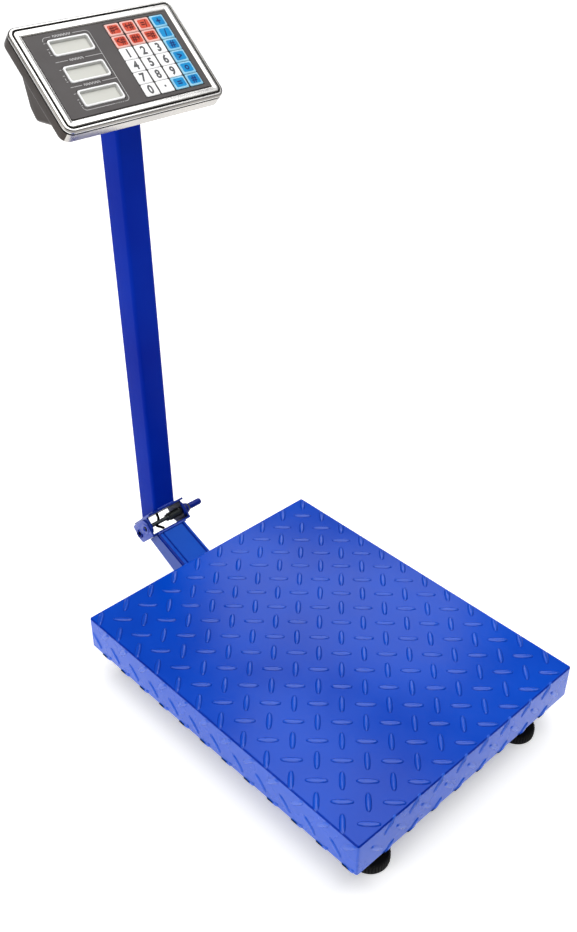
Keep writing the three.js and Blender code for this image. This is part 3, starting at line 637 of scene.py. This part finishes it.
def make_cover():
    def level(inwards, corner, height):
        return rounded_loop(HALF_X - inwards, HALF_Y - inwards, corner, height, (0, PLATE_Y))

    pan = Mesh()
    loops = [
        level(SHEET, COVER_CORNER / 2, TOP - SHEET), level(SHEET, COVER_CORNER / 2, SKIRT_LOW),
        level(0, COVER_CORNER, SKIRT_LOW), level(0, COVER_CORNER, TOP - BEND),
    ]
    for step in range(1, BEND_STEPS + 1):
        angle = math.radians(90 * step / BEND_STEPS)
        inwards = BEND * (1 - math.cos(angle))
        loops.append(level(inwards, COVER_CORNER - inwards, TOP - BEND + BEND * math.sin(angle)))
    # the bends take the darker copy of the paint, painted shade for their dark reflection
    pan.loft(loops, [ON_SKIRT] * 3 + [PAINTED_SHADE] * 3 + [ON_TOP])
    # the skirts take the lighter copy of the paint, painted light from the floor
    cover = pan.make("tread_plate_cover", ["plate_top", "plate_skirt_lit", "plate_painted_shade"])
    notch = block(
        "notch", (-NOTCH_HALF_X, PLATE_Y + HALF_Y - 10 * MM, SKIRT_LOW - 5 * MM),
        (NOTCH_HALF_X, PLATE_Y + HALF_Y + 10 * MM, NOTCH_TOP), "plate_skirt_lit")
    carve(cover, [notch])
    settle(cover, "base", "blue_paint", "platform_cover")

    bars = Mesh()
    reach_x = HALF_X + TOP - SKIRT_LOW
    reach_y = HALF_Y + TOP - SKIRT_LOW
    count_x = int(reach_x / BAR_PITCH_X) + 4
    count_y = int(reach_y / BAR_PITCH_Y) + 4
    for i in range(-count_x, count_x + 1):
        for j in range(-count_y, count_y + 1):
            for half, angle in ((0, -45), (0.5, 45)):
                x = BAR_AT[0] + (i + half) * BAR_PITCH_X
                y = BAR_AT[1] + (j + half) * BAR_PITCH_Y
                if abs(x) > reach_x + 10 * MM or abs(y) > reach_y + 10 * MM or in_notch(x, y):
                    continue
                # bars on the skirts take the lighter copy of the paint, painted light from the floor
                on_skirt = abs(x) > HALF_X or abs(y) > HALF_Y
                tread_bar(bars, (x, y), math.radians(angle), ON_SKIRT if on_skirt else ON_TOP)
    piece = bars.make("tread_plate_bars", ["plate_bar_lit", "skirt_bar_lit", "plate_painted_shade"], 80)
    settle(piece, "base", "blue_paint")


# ---------------------------------------------------------------- column and arm
def on_plane(origin, direction, plane_point, plane_normal):
    """Where a line meets a plane."""
    reach = (plane_point - origin).dot(plane_normal) / direction.dot(plane_normal)
    return origin + direction * reach


COLUMN_HALF = 19 * MM
COLUMN_WALL = 1.6 * MM
COLUMN_CORNER = 5 * MM
COLUMN_START = 16.5 * MM    # above the pivot, on the bracket's plate
JOINT_GAP = 0.3 * MM


def make_column():
    """A square tube, mitred onto its bracket and cut to the slope of the head's underside."""
    upwards = Vector((0, 0, 1))
    ahead = (COLUMN.to_3x3() @ upwards).normalized()
    mitre = HINGE @ (upwards * COLUMN_START), HINGE.to_3x3() @ upwards
    top = UNDER @ (upwards * JOINT_GAP), UNDER.to_3x3() @ upwards
    outer, inner = (
        [COLUMN @ Vector(v) for v in rounded_loop(
            COLUMN_HALF - inset, COLUMN_HALF - inset, COLUMN_CORNER - inset, 0)]
        for inset in (0, COLUMN_WALL)
    )
    column = Mesh()
    column.loft([
        [on_plane(v, ahead, *end) for v in side]
        for side, end in ((outer, mitre), (outer, top), (inner, top), (inner, mitre))
    ], closed=True)
    # the tube takes the darker copy of the blue paint, painted shade
    settle(column.make("column_square_tube", ["column_paint_shaded"]), "column", "blue_paint", "column_tube")


# the arm's top and underside, each as a point (y, z) and a slope
ARM_TOP = (266 * MM, 89.5 * MM, math.tan(math.radians(21.7)))
ARM_LOW = (292.5 * MM, 61.6 * MM, math.tan(math.radians(27.3)))
ARM_START = 238.3 * MM
ARM_END = 431.5 * MM        # y + z on the mitre
ARM_CHANNEL = ((25.0, -9.6), (25.0, -8.8), (24.6, -8.4))
ARM_TUBE = (
    (23.8, -8.4), (23.8, -3.4), (23.4, -1.9), (22.6, -0.7), (21.4, -0.1), (20.4, 0.0),
    (19.7, -0.3), (19.3, -1.2), (18.6, -1.7), (17.7, -1.7), (17.0, -1.2), (16.4, -0.7),
)
ARM_SIDE_FROM = 24.8 * MM
ARM_STEP_FROM = 23.5 * MM
ARM_GROOVE = (17.2 * MM, 19.8 * MM)


def make_arm():
    """A pressed outer channel hugging a round-cornered tube, whose top carries a shallow recess."""
    top = in_mm(ARM_CHANNEL + ARM_TUBE)
    profile = top + [(-x, rise) for x, rise in reversed(top)]

    def at(x, rise, line, at_end):
        at_y, at_z, slope = line
        y = (ARM_END - rise - at_z + slope * at_y) / (1 + slope) if at_end else ARM_START
        return (x, PLATE_Y + y, at_z + (y - at_y) * slope + rise)

    arm = Mesh()
    arm.loft([
        [at(x, rise, ARM_TOP, at_end) for x, rise in profile]
        + [at(side * profile[0][0], 0.0, ARM_LOW, at_end) for side in (-1, 1)]
        for at_end in (False, True)
    ])
    names = ["arm_paint", "arm_side_shaded", "arm_painted_shade"]
    piece = settle(arm.make("support_arm_channel", names), "base", "blue_paint", "support_arm")
    for polygon in piece.data.polygons:
        away = abs(polygon.center.x)
        shaded_band = ARM_GROOVE[0] < away < ARM_GROOVE[1] or ARM_STEP_FROM < away < ARM_SIDE_FROM
        # the outer side walls take the darker, greyer copy of the paint: painted shade and reflection
        if abs(polygon.normal.x) > 0.9 and away > ARM_SIDE_FROM:
            polygon.material_index = 1
        # the groove, the step and the faces turned to +X take the near-black copy: painted shade
        elif shaded_band or polygon.normal.x > 0.6:
            polygon.material_index = 2


# ---------------------------------------------------------------- hinge
RIPPLE = 1.1 * MM


def weld_bead(mesh, start, end, radius):
    """A rippled weld between two points, given in millimetres in the hinge's frame."""
    start, end = (HINGE @ (Vector(point) * MM) for point in (start, end))
    steps = int((end - start).length / RIPPLE)
    path = [start.lerp(end, k / steps) for k in range(steps)] + [end]
    radii = [radius * (1 + 0.16 * (i % 2) + random.uniform(-0.06, 0.06)) for i in range(len(path))]
    sweep(mesh, path, radii, 8)


def turned_piece(name, profile, sides, place, material_name, angle=32):
    mesh = Mesh()
    turned(mesh, in_mm(profile), sides, place)
    return mesh.make(name, [material_name], angle)


BUSH_PROFILE = (
    (3.3, 28.6), (5.8, 28.6), (5.8, 35.5), (7.6, 35.5), (7.6, 36.0), (7.0, 36.5), (4.9, 36.7), (4.0, 36.2),
    (3.3, 34.0),
)
ROD_CAP_PROFILE = ((2.9, 37.9), (2.9, 38.4), (2.4, 38.9), (0.6, 39.1))
LOCK_HOLE = (-2.1 * MM, 24.7 * MM, 35.9 * MM)
# the dark arc that stands in for the shadow round the lock hole
SHADOW_ARC_RADIUS = 5.2 * MM
SHADOW_ARC_WIRE = 1.7 * MM


def make_hinge():
    for node in ("hinge_bracket", "column_bracket"):
        bracket = finish_node(node, "bracket_paint_shaded", 0.5 * MM)
        # faces turned in to the pivot take the near-black copy: painted shade between the ears
        paint_faces_towards(bracket, PIVOT, 10 * MM, "ear_inside_shade")
        # the brackets take the dark copy of the paint, painted shade; faces turned to -X take the lighter
        # copy, painted light
        bracket.data.materials.append(MATERIALS["ear_paint_lit"])
        turn = bracket.matrix_world.to_3x3()
        for polygon in bracket.data.polygons:
            if (turn @ polygon.normal).normalized().x < -0.7 and polygon.material_index == 0:
                polygon.material_index = 2
    finish_node("pivot_bush_right", "dark_steel", 0.3 * MM)
    finish_node("latch_plate", "pin_paint", 0.4 * MM)
    finish_node("latch_rod", "dark_steel", 0.2 * MM)
    leftwards = HINGE @ Matrix.Rotation(math.radians(-90), 4, "Y")
    # the left bush takes the lighter copy of the paint, as the faces beside it do: painted light
    bush = turned_piece("painted_pivot_bush", BUSH_PROFILE, 40, leftwards, "ear_paint_lit")
    settle(bush, "base", "zinc_plate", "pivot_bush_left")
    cap = turned_piece("rod_end_cap", ROD_CAP_PROFILE, 28, leftwards, "column_paint_shaded")
    settle(cap, "latch", "zinc_plate")

    # painted shadow: a dark wire arc round the lock hole stands in for the C-shaped shadow at the end of the
    # pin
    shadow_arc = Mesh()
    around_hole = leftwards @ Matrix.Translation(LOCK_HOLE)
    arc = [math.radians(angle) for angle in range(-20, 251, 15)]
    tube(shadow_arc, [
        around_hole @ Vector((SHADOW_ARC_RADIUS * math.cos(a), SHADOW_ARC_RADIUS * math.sin(a), 0)) for a in arc
    ], SHADOW_ARC_WIRE)
    settle(shadow_arc.make("lock_hole_shadow_arc", ["pin_paint"]), "base", "zinc_plate")

    low = Mesh()
    weld_bead(low, (-25, -9, -16), (25, -9, -16), 1.5 * MM)
    settle(low.make("arm_weld", ["weld"]), "base", "blue_paint")
    high = Mesh()
    weld_bead(high, (-14, -20.9, 16.6), (14, -20.9, 16.6), 1.3 * MM)
    for side in (-19.2, 19.2):
        weld_bead(high, (side, -14.9, 16.6), (side, 24.6, 16.6), 1.3 * MM)
    settle(high.make("column_weld", ["weld"]), "column", "blue_paint")


GRIP_PROFILE = (
    (3.5, 45.2), (4.6, 45.4), (4.9, 47.0), (4.9, 64.0), (4.7, 66.2), (3.9, 67.9), (2.4, 68.7), (0.6, 68.9),
)
LOCK_NUT_PROFILE = ((5.6, 41.2), (6.4, 41.7), (6.4, 44.6), (5.6, 45.1))


def make_handle():
    """The blue grip on the end of the latch rod, with its lock nut."""
    rightwards = HINGE @ Matrix.Rotation(math.radians(90), 4, "Y")
    grip = turned_piece("release_grip", GRIP_PROFILE, 32, rightwards, "pin_paint", 50)
    settle(grip, "latch", "blue_paint", "release_handle")
    nut = turned_piece("release_lock_nut", LOCK_NUT_PROFILE, 6, rightwards, "dark_steel", 20)
    settle(nut, "latch", "zinc_plate")


SPRING_FROM = 5.9 * MM
SPRING_TO = 28.0 * MM
SPRING_TURNS = 8
SPRING_RADIUS = 5.4 * MM
SPRING_WIRE = 1.05 * MM
SPRING_MARGIN = 1.1 * MM    # from an end of the spring to the middle of its wire


def make_spring():
    """A coil on the latch rod, between the rod's collar and the bush."""
    coil = Mesh()
    length = SPRING_TO - SPRING_FROM
    steps = SPRING_TURNS * 20
    points = []
    for i in range(steps + 1):
        turn = 2 * math.pi * SPRING_TURNS * i / steps
        along = SPRING_FROM + SPRING_MARGIN + (length - 2 * SPRING_MARGIN) * i / steps
        points.append(HINGE @ Vector((along, SPRING_RADIUS * math.cos(turn), SPRING_RADIUS * math.sin(turn))))
    tube(coil, points, SPRING_WIRE)
    spring = settle(coil.make("latch_coil_spring", ["dark_steel"]), "base", "spring_steel", "latch_spring")
    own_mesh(spring)


# the cable's way over the fold, in the hinge's frame: through both brackets' holes, bowed in between
CABLE_HOLE = Vector((-3, 9, 0)) * MM
CABLE_RADIUS = 2 * MM
CABLE_BOW = ((0, 0, -12), (-4, 2, -7), (-7, 4, -3), (-2, 4.5, 1), (0, 2, 6), (0, 0, 12.8))


def make_cables():
    for node in ("signal_cable_base", "signal_cable_column"):
        finish_node(node, "gasket")
    loop = Mesh()
    points = [HINGE @ (CABLE_HOLE + Vector(bow) * MM) for bow in CABLE_BOW]
    tube(loop, smooth_path(points, 8), CABLE_RADIUS, 12)
    slack = loop.make("signal_cable_slack", ["gasket"])
    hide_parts("signal_cable_loop")
    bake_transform(slack)


# ---------------------------------------------------------------- head
HEAD_HALF_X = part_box("head_front_cover")[1].x
HEAD_LOW_U = -71 * MM
HEAD_HIGH_U = 70.5 * MM
HEAD_HALF_U = (HEAD_HIGH_U - HEAD_LOW_U) / 2
HEAD_MID_U = (HEAD_HIGH_U + HEAD_LOW_U) / 2
SEAM_BACK = -6.2 * MM
HEAD_BACK = -21 * MM
SHELL_WALL = 1.8 * MM


def head_loop(inwards, height, corner=12 * MM):
    return rounded_loop(
        HEAD_HALF_X - inwards, HEAD_HALF_U - inwards, max(corner - inwards, 1.2 * MM), height,
        (0, HEAD_MID_U))


def head_ring(profile):
    """A closed ring around the head from (distance in, height) in millimetres. Steep rolls are paint 1; on
    the bezel that is a darker copy of the steel, painted shade and dark reflection.
    """
    band = Mesh()
    steep = [
        int(after[0] > 0.2 and abs(after[1] - before[1]) > 0.55 * abs(after[0] - before[0]))
        for before, after in zip(profile, profile[1:] + profile[:1])
    ]
    loops = [head_loop(inwards, height) for inwards, height in in_mm(profile)]
    band.loft(loops, steep, closed=True, place=HEAD)
    return band


def make_front_cover():
    """Pressed stainless frame: rolled outer rim, a groove with a black bead laid in it as painted shade, and
    a raised inner frame.
    """
    cover = head_ring((
        (2.0, -4.0), (0.3, -4.0), (0.0, -3.6), (0.0, -2.4), (0.25, -1.4), (0.8, -0.5), (1.6, 0.2),
        (2.6, 0.6), (3.7, 0.6), (4.1, 0.3), (4.3, -1.1), (6.1, -1.1), (6.3, 0.5), (6.8, 1.0), (7.6, 1.2),
        (10.6, 1.0), (12.6, 0.7), (13.4, 0.4), (14.0, -0.2), (14.3, -0.9), (13.0, -2.0), (4.0, -3.0),
    ))
    bezel = cover.make("head_bezel", ["stainless", "stainless_shaded"])
    settle(bezel, "column", "stainless", "head_front_cover")
    # painted shade: a black bead fills the groove, standing in for the shade in it
    groove_shade = head_ring(((4.35, -1.1), (4.4, -0.5), (4.9, -0.1), (5.5, -0.1), (6.0, -0.5), (6.05, -1.1)))
    settle(groove_shade.make("bezel_groove_shade", ["gasket", "gasket"]), "column", "black_plastic")
    # painted shade: a black ring fills the seam between the front cover and the shell, standing in for the
    # shade inside the gap
    seam = head_ring(((0.9, -6.1), (0.6, -5.7), (0.6, -4.5), (0.9, -4.1), (6.0, -4.1), (6.0, -6.1)))
    settle(seam.make("head_seam_shade", ["gasket", "gasket"]), "column", "black_plastic")


BELLY_HALF_X = 104 * MM
BELLY_OUTLINE = ((-61, -14), (-13, -62), (4, -58.8), (66, -19.5), (66, -14))
BELLY_FILLETS = (0, 9, 16, 4, 0)
LEAST_FILLET = 0.4 * MM


def belly_profile(inset):
    """The belly's filleted outline in (u, n). Its edges move in by inset, but for the top one in the pan."""
    corners = [Vector(corner) * MM for corner in BELLY_OUTLINE]
    edges = list(zip(corners, corners[1:] + corners[:1]))
    inward = [Vector((a.y - b.y, b.x - a.x)).normalized() for a, b in edges]
    insets = [inset] * (len(edges) - 1) + [0.0]
    points = []
    for i, corner in enumerate(corners):
        before, after = inward[i - 1], inward[i]
        radius = max(BELLY_FILLETS[i] * MM - inset, LEAST_FILLET) if BELLY_FILLETS[i] else 0.0
        turning = before.x * after.y - before.y * after.x
        reach_before, reach_after = insets[i - 1] + radius, insets[i] + radius
        centre = corner + Vector((
            reach_before * after.y - reach_after * before.y,
            reach_after * before.x - reach_before * after.x)) / turning
        turn = math.atan2(turning, before.dot(after))
        steps = 6 if radius else 0
        for step in range(steps + 1):
            points.append(centre - Matrix.Rotation(turn * step / max(steps, 1), 2) @ before * radius)
    return [(p.x, p.y) for p in points]


def make_belly(name, half_x, inset, edge):
    """The belly as a prism along X whose end edges are rounded by edge."""
    mesh = Mesh()
    loops = []
    for step in range(5):
        angle = math.radians(90 * step / 4)
        sink = edge * (1 - math.sin(angle))
        x = half_x - edge + edge * math.cos(angle)
        loops.append([(x, u, n) for u, n in belly_profile(inset + sink)])
    other = [[(-x, u, n) for x, u, n in loop] for loop in reversed(loops)]
    mesh.loft(loops + other, place=HEAD)
    return mesh.make(name, ["shell_steel", "shell_side_shaded"])


def make_pan(name, inwards, back, front, radius):
    mesh = Mesh()
    loops = [head_loop(inwards, front)]
    for step in range(6):
        angle = math.radians(90 * step / 5)
        loops.append(head_loop(
            inwards + radius * (1 - math.cos(angle)), back + radius - radius * math.sin(angle)))
    mesh.loft(loops, place=HEAD)
    return mesh.make(name, ["shell_steel", "shell_side_shaded"])


# the openings in the belly's underside, with half their height
WELLS = {"switch_housing": 10.8 * MM, "charging_inlet": 7.3 * MM}
WELL_LIP = 1.2 * MM
WELL_Y = 9 * MM
WELL_DEPTH = 6 * MM


def make_rear_shell():
    shell = fuse(
        make_pan("head_rear_pan", 0, HEAD_BACK, SEAM_BACK, 3 * MM),
        make_belly("belly_outside", BELLY_HALF_X, 0, 5 * MM))
    hollow = fuse(
        make_pan("pan_inside", SHELL_WALL, HEAD_BACK + SHELL_WALL, 2 * MM, 1.5 * MM),
        make_belly("belly_inside", BELLY_HALF_X - SHELL_WALL, SHELL_WALL, 3 * MM))
    wells = []
    for node, half_y in WELLS.items():
        lo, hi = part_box(node)
        middle_x = (UNDER.inverted() @ ((lo + hi) / 2)).x
        half_x = (hi.x - lo.x) / 2 - WELL_LIP
        wells.append(block(
            node + "_cut", (middle_x - half_x, WELL_Y - half_y, -WELL_DEPTH),
            (middle_x + half_x, WELL_Y + half_y, WELL_DEPTH), place=UNDER))
    carve(shell, [hollow, *wells])
    # faces turned to the sides take the dark copy of the steel: painted shade and dark reflection
    for polygon in shell.data.polygons:
        if abs(polygon.normal.x) > 0.75:
            polygon.material_index = 1
    settle(shell, "column", "stainless", "head_rear_shell")

    screws = Mesh()
    back = HEAD @ Matrix.Translation((0, 0, HEAD_BACK)) @ Matrix.Rotation(math.pi, 4, "X")
    side_x = (HEAD_HALF_X + BELLY_HALF_X) / 2
    for x in (-side_x, side_x):
        for u in (-56 * MM, 0, 56 * MM):
            screw(screws, back @ Matrix.Translation((x, u, 0)), 2.6 * MM)
    for x in (-25.5 * MM, 25.5 * MM):
        for y in (-8 * MM, 24 * MM):
            screw(screws, UNDER @ Matrix.Translation((x, y, 0)), 3.2 * MM)
    settle(screws.make("head_screws", ["zinc", "gasket"]), "column", "zinc_plate")


def screw(mesh, place, radius):
    """A pan-head screw with a cross recess, drawn as a black cross on its head that paints the recess's
    shade, standing on the place's XY plane.
    """
    profile = [
        (radius, -0.2 * MM), (radius, 0.5 * MM), (radius * 0.93, 0.95 * MM),
        (radius * 0.7, 1.35 * MM), (radius * 0.35, 1.5 * MM),
    ]
    turned(mesh, profile, 24, place)
    # painted shade: the cross recess is a black block laid on the head
    for turn in (0, math.pi / 2):
        slot = place @ Matrix.Rotation(turn + 0.4, 4, "Z")
        half, width = radius * 0.5, radius * 0.11
        loops = [
            [(-half, -width, z), (half, -width, z), (half, width, z), (-half, width, z)]
            for z in (1.2 * MM, 1.56 * MM + turn * 0.01 * MM)
        ]
        mesh.loft(loops, 1, place=slot)


CAPTION_HALF = 1.1 * MM
CAPTION_STROKE = 0.8 * MM
CAPTION_PITCH = 1.9 * MM


def make_panel():
    finish_node("face_panel", "panel_film")
    lines = Mesh()

    def bar(x0, u0, x1, u1, width=0.55 * MM):
        """One thin printed stroke between two points."""
        a, b = Vector((x0, u0)), Vector((x1, u1))
        across = Vector((-(b - a).y, (b - a).x)).normalized() * width / 2
        corners = [a - across, b - across, b + across, a + across]
        lines.loft([[(c.x, c.y, z) for c in corners] for z in (-0.02 * MM, 0.06 * MM)], place=HEAD)

    left, right, low, high = -80 * MM, -16 * MM, -48.5 * MM, 50 * MM
    radius = 5 * MM
    middle = ((left + right) / 2, (low + high) / 2)
    outline = rounded_loop((right - left) / 2, (high - low) / 2, radius, 0, middle, 6)
    for a, b in zip(outline, outline[1:] + outline[:1]):
        if abs(a[0] - b[0]) < 10 * MM and abs(a[1] - b[1]) < 10 * MM:
            bar(a[0], a[1], b[0], b[1])
    bar(right, low + radius, right, high - radius)
    # height, where the rule starts, where the caption's strokes start, and their number
    captions = (
        (high, left + radius, -64.5 * MM, 13),
        (16.8 * MM, left, -60.5 * MM, 10),
        (-17.2 * MM, left, -61.5 * MM, 12),
    )
    for u, rule_start, caption_start, count in captions:
        bar(rule_start, u, caption_start - 3 * MM, u)
        for k in range(count):
            start = caption_start + k * CAPTION_PITCH
            end_u = u + CAPTION_HALF * (-1) ** k
            bar(start, u - CAPTION_HALF, start, u + CAPTION_HALF, CAPTION_STROKE)
            bar(start, end_u, start + 1.2 * MM, end_u, CAPTION_STROKE)
        bar(caption_start + count * CAPTION_PITCH + 2 * MM, u, right - (radius if u == high else 0), u)
    bar(left + radius, low, -37.5 * MM, low)
    for k in range(4):
        bar((-36 + k * 3) * MM, low - 0.6 * MM, (-34.6 + k * 3) * MM, low + 0.6 * MM)
    bar(-24 * MM, low, right - radius, low)
    for u in WINDOWS.values():
        for k in range(3):
            level_u = u + (8 - 8 * k) * MM
            bar(left - 0.8 * MM, level_u, left + 1.6 * MM, level_u)
        bar(left, u - 3 * MM, left, u - 6 * MM)
    settle(lines.make("panel_print", ["print_grey"]), "column", "panel_film")


WINDOWS = {"weight_display": 34.8 * MM, "unit_weight_display": -1.5 * MM, "count_display": -33.8 * MM}
WINDOW_MID_X = -48 * MM
WINDOW_HALF_X = 28 * MM
WINDOW_HALF_U = 11 * MM


def make_display(name, u):
    """A white moulded frame, its sloped inner wall in a greyer white that paints its shade, a darker painted
    shadow line round the screen, and the pale screen behind it.
    """
    steps = [
        (0, -10.7, 3.4), (0, 0.5, 3.4), (0.2, 0.95, 3.4), (0.6, 1.2, 3.4), (1.7, 1.2, 2.9), (2.1, 1.0, 2.7),
        (2.9, -1.6, 2.2), (3.1, -2.6, 2.0), (3.5, -2.6, 1.0), (3.6, -2.5, 1.0),
    ]
    body = Mesh()
    loops = [
        rounded_loop(
            WINDOW_HALF_X - inwards * MM, WINDOW_HALF_U - inwards * MM, corner * MM, height * MM,
            (WINDOW_MID_X, u))
        for inwards, height, corner in steps
    ]
    # the inner wall and the line round the screen take painted shade
    body.loft(loops, [0] * 5 + [3, 3, 2, 1], place=HEAD)
    piece = body.make(name + "_window", ["white_plastic", "lcd_glass", "lcd_edge_shadow", "window_wall_shaded"])
    settle(piece, "column", "display_frame", name)


# ---------------------------------------------------------------- keys
KEY_LEFT = 7 * MM
KEY_COLUMN_PITCH = 22.1 * MM
KEY_HALF_X = 9.9 * MM
KEY_HALF_U = 8.25 * MM
KEY_TOP = 51.6 * MM
KEY_ROW_PITCH = 17.1 * MM
KEY_MARKS = (
    ("#=", "+#", "=/", "+"),
    ("<#", "#+", "=#", "/"),
    ("1", "2", "3", "#"),
    ("4", "5", "6", ">"),
    ("7", "8", "9", "o"),
    ("0", ".", "=", "#"),
)
# the size of a mark, and how much its strokes are fattened
DIGIT = (15.5 * MM, 0.58 * MM)
SYMBOL = (13 * MM, 0.42 * MM)


def mark_mesh(text, size, weight):
    """A raised mark, centred, as vertices and faces. Weight is how much its strokes are fattened."""
    curve = bpy.data.curves.new("mark", "FONT")
    curve.body = text
    curve.size = size
    curve.align_x = "CENTER"
    curve.align_y = "CENTER"
    curve.extrude = 0.04 * MM
    curve.offset = weight
    curve.resolution_u = 5
    holder = bpy.data.objects.new("mark", curve)
    bpy.context.collection.objects.link(holder)
    bpy.context.view_layer.update()
    mesh = bpy.data.meshes.new_from_object(holder.evaluated_get(bpy.context.evaluated_depsgraph_get()))
    bm = bmesh.new()
    bm.from_mesh(mesh)
    bmesh.ops.remove_doubles(bm, verts=bm.verts, dist=0.0005 * MM)
    verts = [v.co.copy() for v in bm.verts]
    bm.verts.index_update()
    faces = [[v.index for v in f.verts] for f in bm.faces]
    bm.free()
    bpy.data.objects.remove(holder)
    bpy.data.curves.remove(curve)
    bpy.data.meshes.remove(mesh)
    middle = Vector((
        (min(v.x for v in verts) + max(v.x for v in verts)) / 2,
        (min(v.y for v in verts) + max(v.y for v in verts)) / 2, 0))
    return [v - middle for v in verts], faces


def make_key(row, column):
    centre = (
        KEY_LEFT + KEY_HALF_X + column * KEY_COLUMN_PITCH,
        KEY_TOP - KEY_HALF_U - row * KEY_ROW_PITCH,
    )
    if column == 3 or (row == 5 and column == 2):
        names, slot = ["key_blue_rim", "key_blue", "key_blue_ink"], "key_blue"
    elif row < 2:
        names, slot = ["key_red_rim", "key_red", "key_red_ink"], "key_red"
    else:
        names, slot = ["key_white", "key_white", "key_ink"], "key_white"
    steps = [
        (0, -0.3, 1.5), (0, 0.35, 1.5), (0.2, 0.62, 1.5), (0.6, 0.82, 1.5), (1.1, 0.9, 1.5), (2.2, 0.92, 2.2),
        (2.7, 0.95, 2.4), (5.0, 1.0, 2.0),
    ]
    key = Mesh()
    key.loft([
        rounded_loop(
            KEY_HALF_X - inwards * MM, KEY_HALF_U - inwards * MM, corner * MM, height * MM, centre, 4)
        for inwards, height, corner in steps
    ], [0] * 5 + [1, 1], place=HEAD)
    mark = KEY_MARKS[row][column]
    digit = mark.isdigit() or mark == "."
    verts, faces = mark_mesh(mark, *(DIGIT if digit else SYMBOL))
    squeeze = 0.9 if len(mark) == 1 else 0.78
    key.add([(v.x * squeeze + centre[0], v.y + centre[1], v.z + 1.0 * MM) for v in verts], faces, 2, HEAD)
    name = f"key_row{row + 1}_column{column + 1}"
    settle(key.make(name + "_cap", names), name, slot, name)


# ---------------------------------------------------------------- feet
FLUTES = 40
FLUTE_STEPS = 6
THREAD_PITCH = 1.5 * MM
FRAME_DEPTH = 14 * MM
WEB_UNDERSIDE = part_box("base_frame")[0].z + FRAME_DEPTH - SHEET


def make_foot(node):
    lo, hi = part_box(node)
    centre = Vector(((lo.x + hi.x) / 2, (lo.y + hi.y) / 2, 0))
    place = Matrix.Translation(centre)
    radius = (hi.x - lo.x) / 2
    pad = Mesh()

    def fluted(reach, height, depth):
        loop = []
        for turn in round_the_clock(FLUTES * FLUTE_STEPS):
            dip = depth * (1 - abs(math.cos(turn * FLUTES / 2)))
            loop.append(((reach - dip) * math.cos(turn), (reach - dip) * math.sin(turn), height))
        return loop

    pad.loft([
        fluted(radius - 4 * MM, 0, 0), fluted(radius - 2 * MM, 0, 0), fluted(radius - 0.6 * MM, 0.7 * MM, 0),
        fluted(radius - 0.6 * MM, 1.8 * MM, 0.2 * MM), fluted(radius, 2.6 * MM, 1.7 * MM),
        fluted(radius, 11.6 * MM, 1.7 * MM), fluted(radius - 0.8 * MM, 12.8 * MM, 0.9 * MM),
        fluted(radius - 2.2 * MM, 13.7 * MM, 0), fluted(radius - 4 * MM, 14 * MM, 0),
        fluted(12 * MM, 14 * MM, 0), fluted(10.5 * MM, 15 * MM, 0), fluted(9 * MM, 19 * MM, 0),
        fluted(5.2 * MM, 19 * MM, 0),
    ], place=place)
    settle(pad.make(node + "_pad", ["foot_rubber"], 40), node, "foot", node)
    stud = Mesh()
    root, crest = 4.4 * MM, 5.0 * MM
    height = 18.5 * MM
    levels = [(root, height)]
    while height < hi.z - THREAD_PITCH:
        levels += [(crest, height + 0.45 * THREAD_PITCH), (root, height + THREAD_PITCH)]
        height += THREAD_PITCH
    turned(stud, levels, 24, place)
    settle(stud.make(node + "_stud", ["zinc"], 20), node, "zinc_plate")
    nut = Mesh()
    under_web = place @ Matrix.Translation((0, 0, WEB_UNDERSIDE))
    turned(nut, in_mm(((8.2, -8.0), (9.2, -7.4), (9.2, -0.9), (8.2, -0.3))), 6, under_web)
    settle(nut.make(node + "_lock_nut", ["zinc"], 20), "base", "zinc_plate")


# ---------------------------------------------------------------- under the cover
def make_underside():
    for node in ("upper_frame", "base_frame"):
        finish_node(node, "frame_paint", 0.6 * MM)
    finish_node("load_cell", "aluminium", 0.4 * MM)
    for node in ("cell_spacer_upper", "cell_spacer_lower", "head_bracket"):
        finish_node(node, "zinc", 0.2 * MM)
    bolts = Mesh()
    for x in (-8 * MM, 8 * MM):
        for y in (-66 * MM, -50 * MM):
            under_web = Matrix.Translation((x, PLATE_Y + y, WEB_UNDERSIDE))
            turned(bolts, in_mm(((5.2, 0.1), (5.6, -0.5), (5.6, -4.0), (5.0, -4.6))), 6, under_web)
    settle(bolts.make("load_cell_bolts", ["zinc"], 20), "base", "zinc_plate")
    finish_node("circuit_board", "board")
    finish_node("battery", "black_plastic", 0.8 * MM)
    for node in ("switch_housing", "power_switch", "charging_inlet"):
        finish_node(node, "black_plastic", 0.4 * MM)


# ---------------------------------------------------------------- all of it
make_camera()
make_studio()
make_cover()
make_column()
make_arm()
make_hinge()
make_handle()
make_spring()
make_cables()
make_front_cover()
make_rear_shell()
make_panel()
for display, display_u in WINDOWS.items():
    make_display(display, display_u)
for key_row in range(6):
    for key_column in range(4):
        make_key(key_row, key_column)
for foot in ("front_left", "front_right", "rear_left", "rear_right"):
    make_foot("levelling_foot_" + foot)
make_underside()
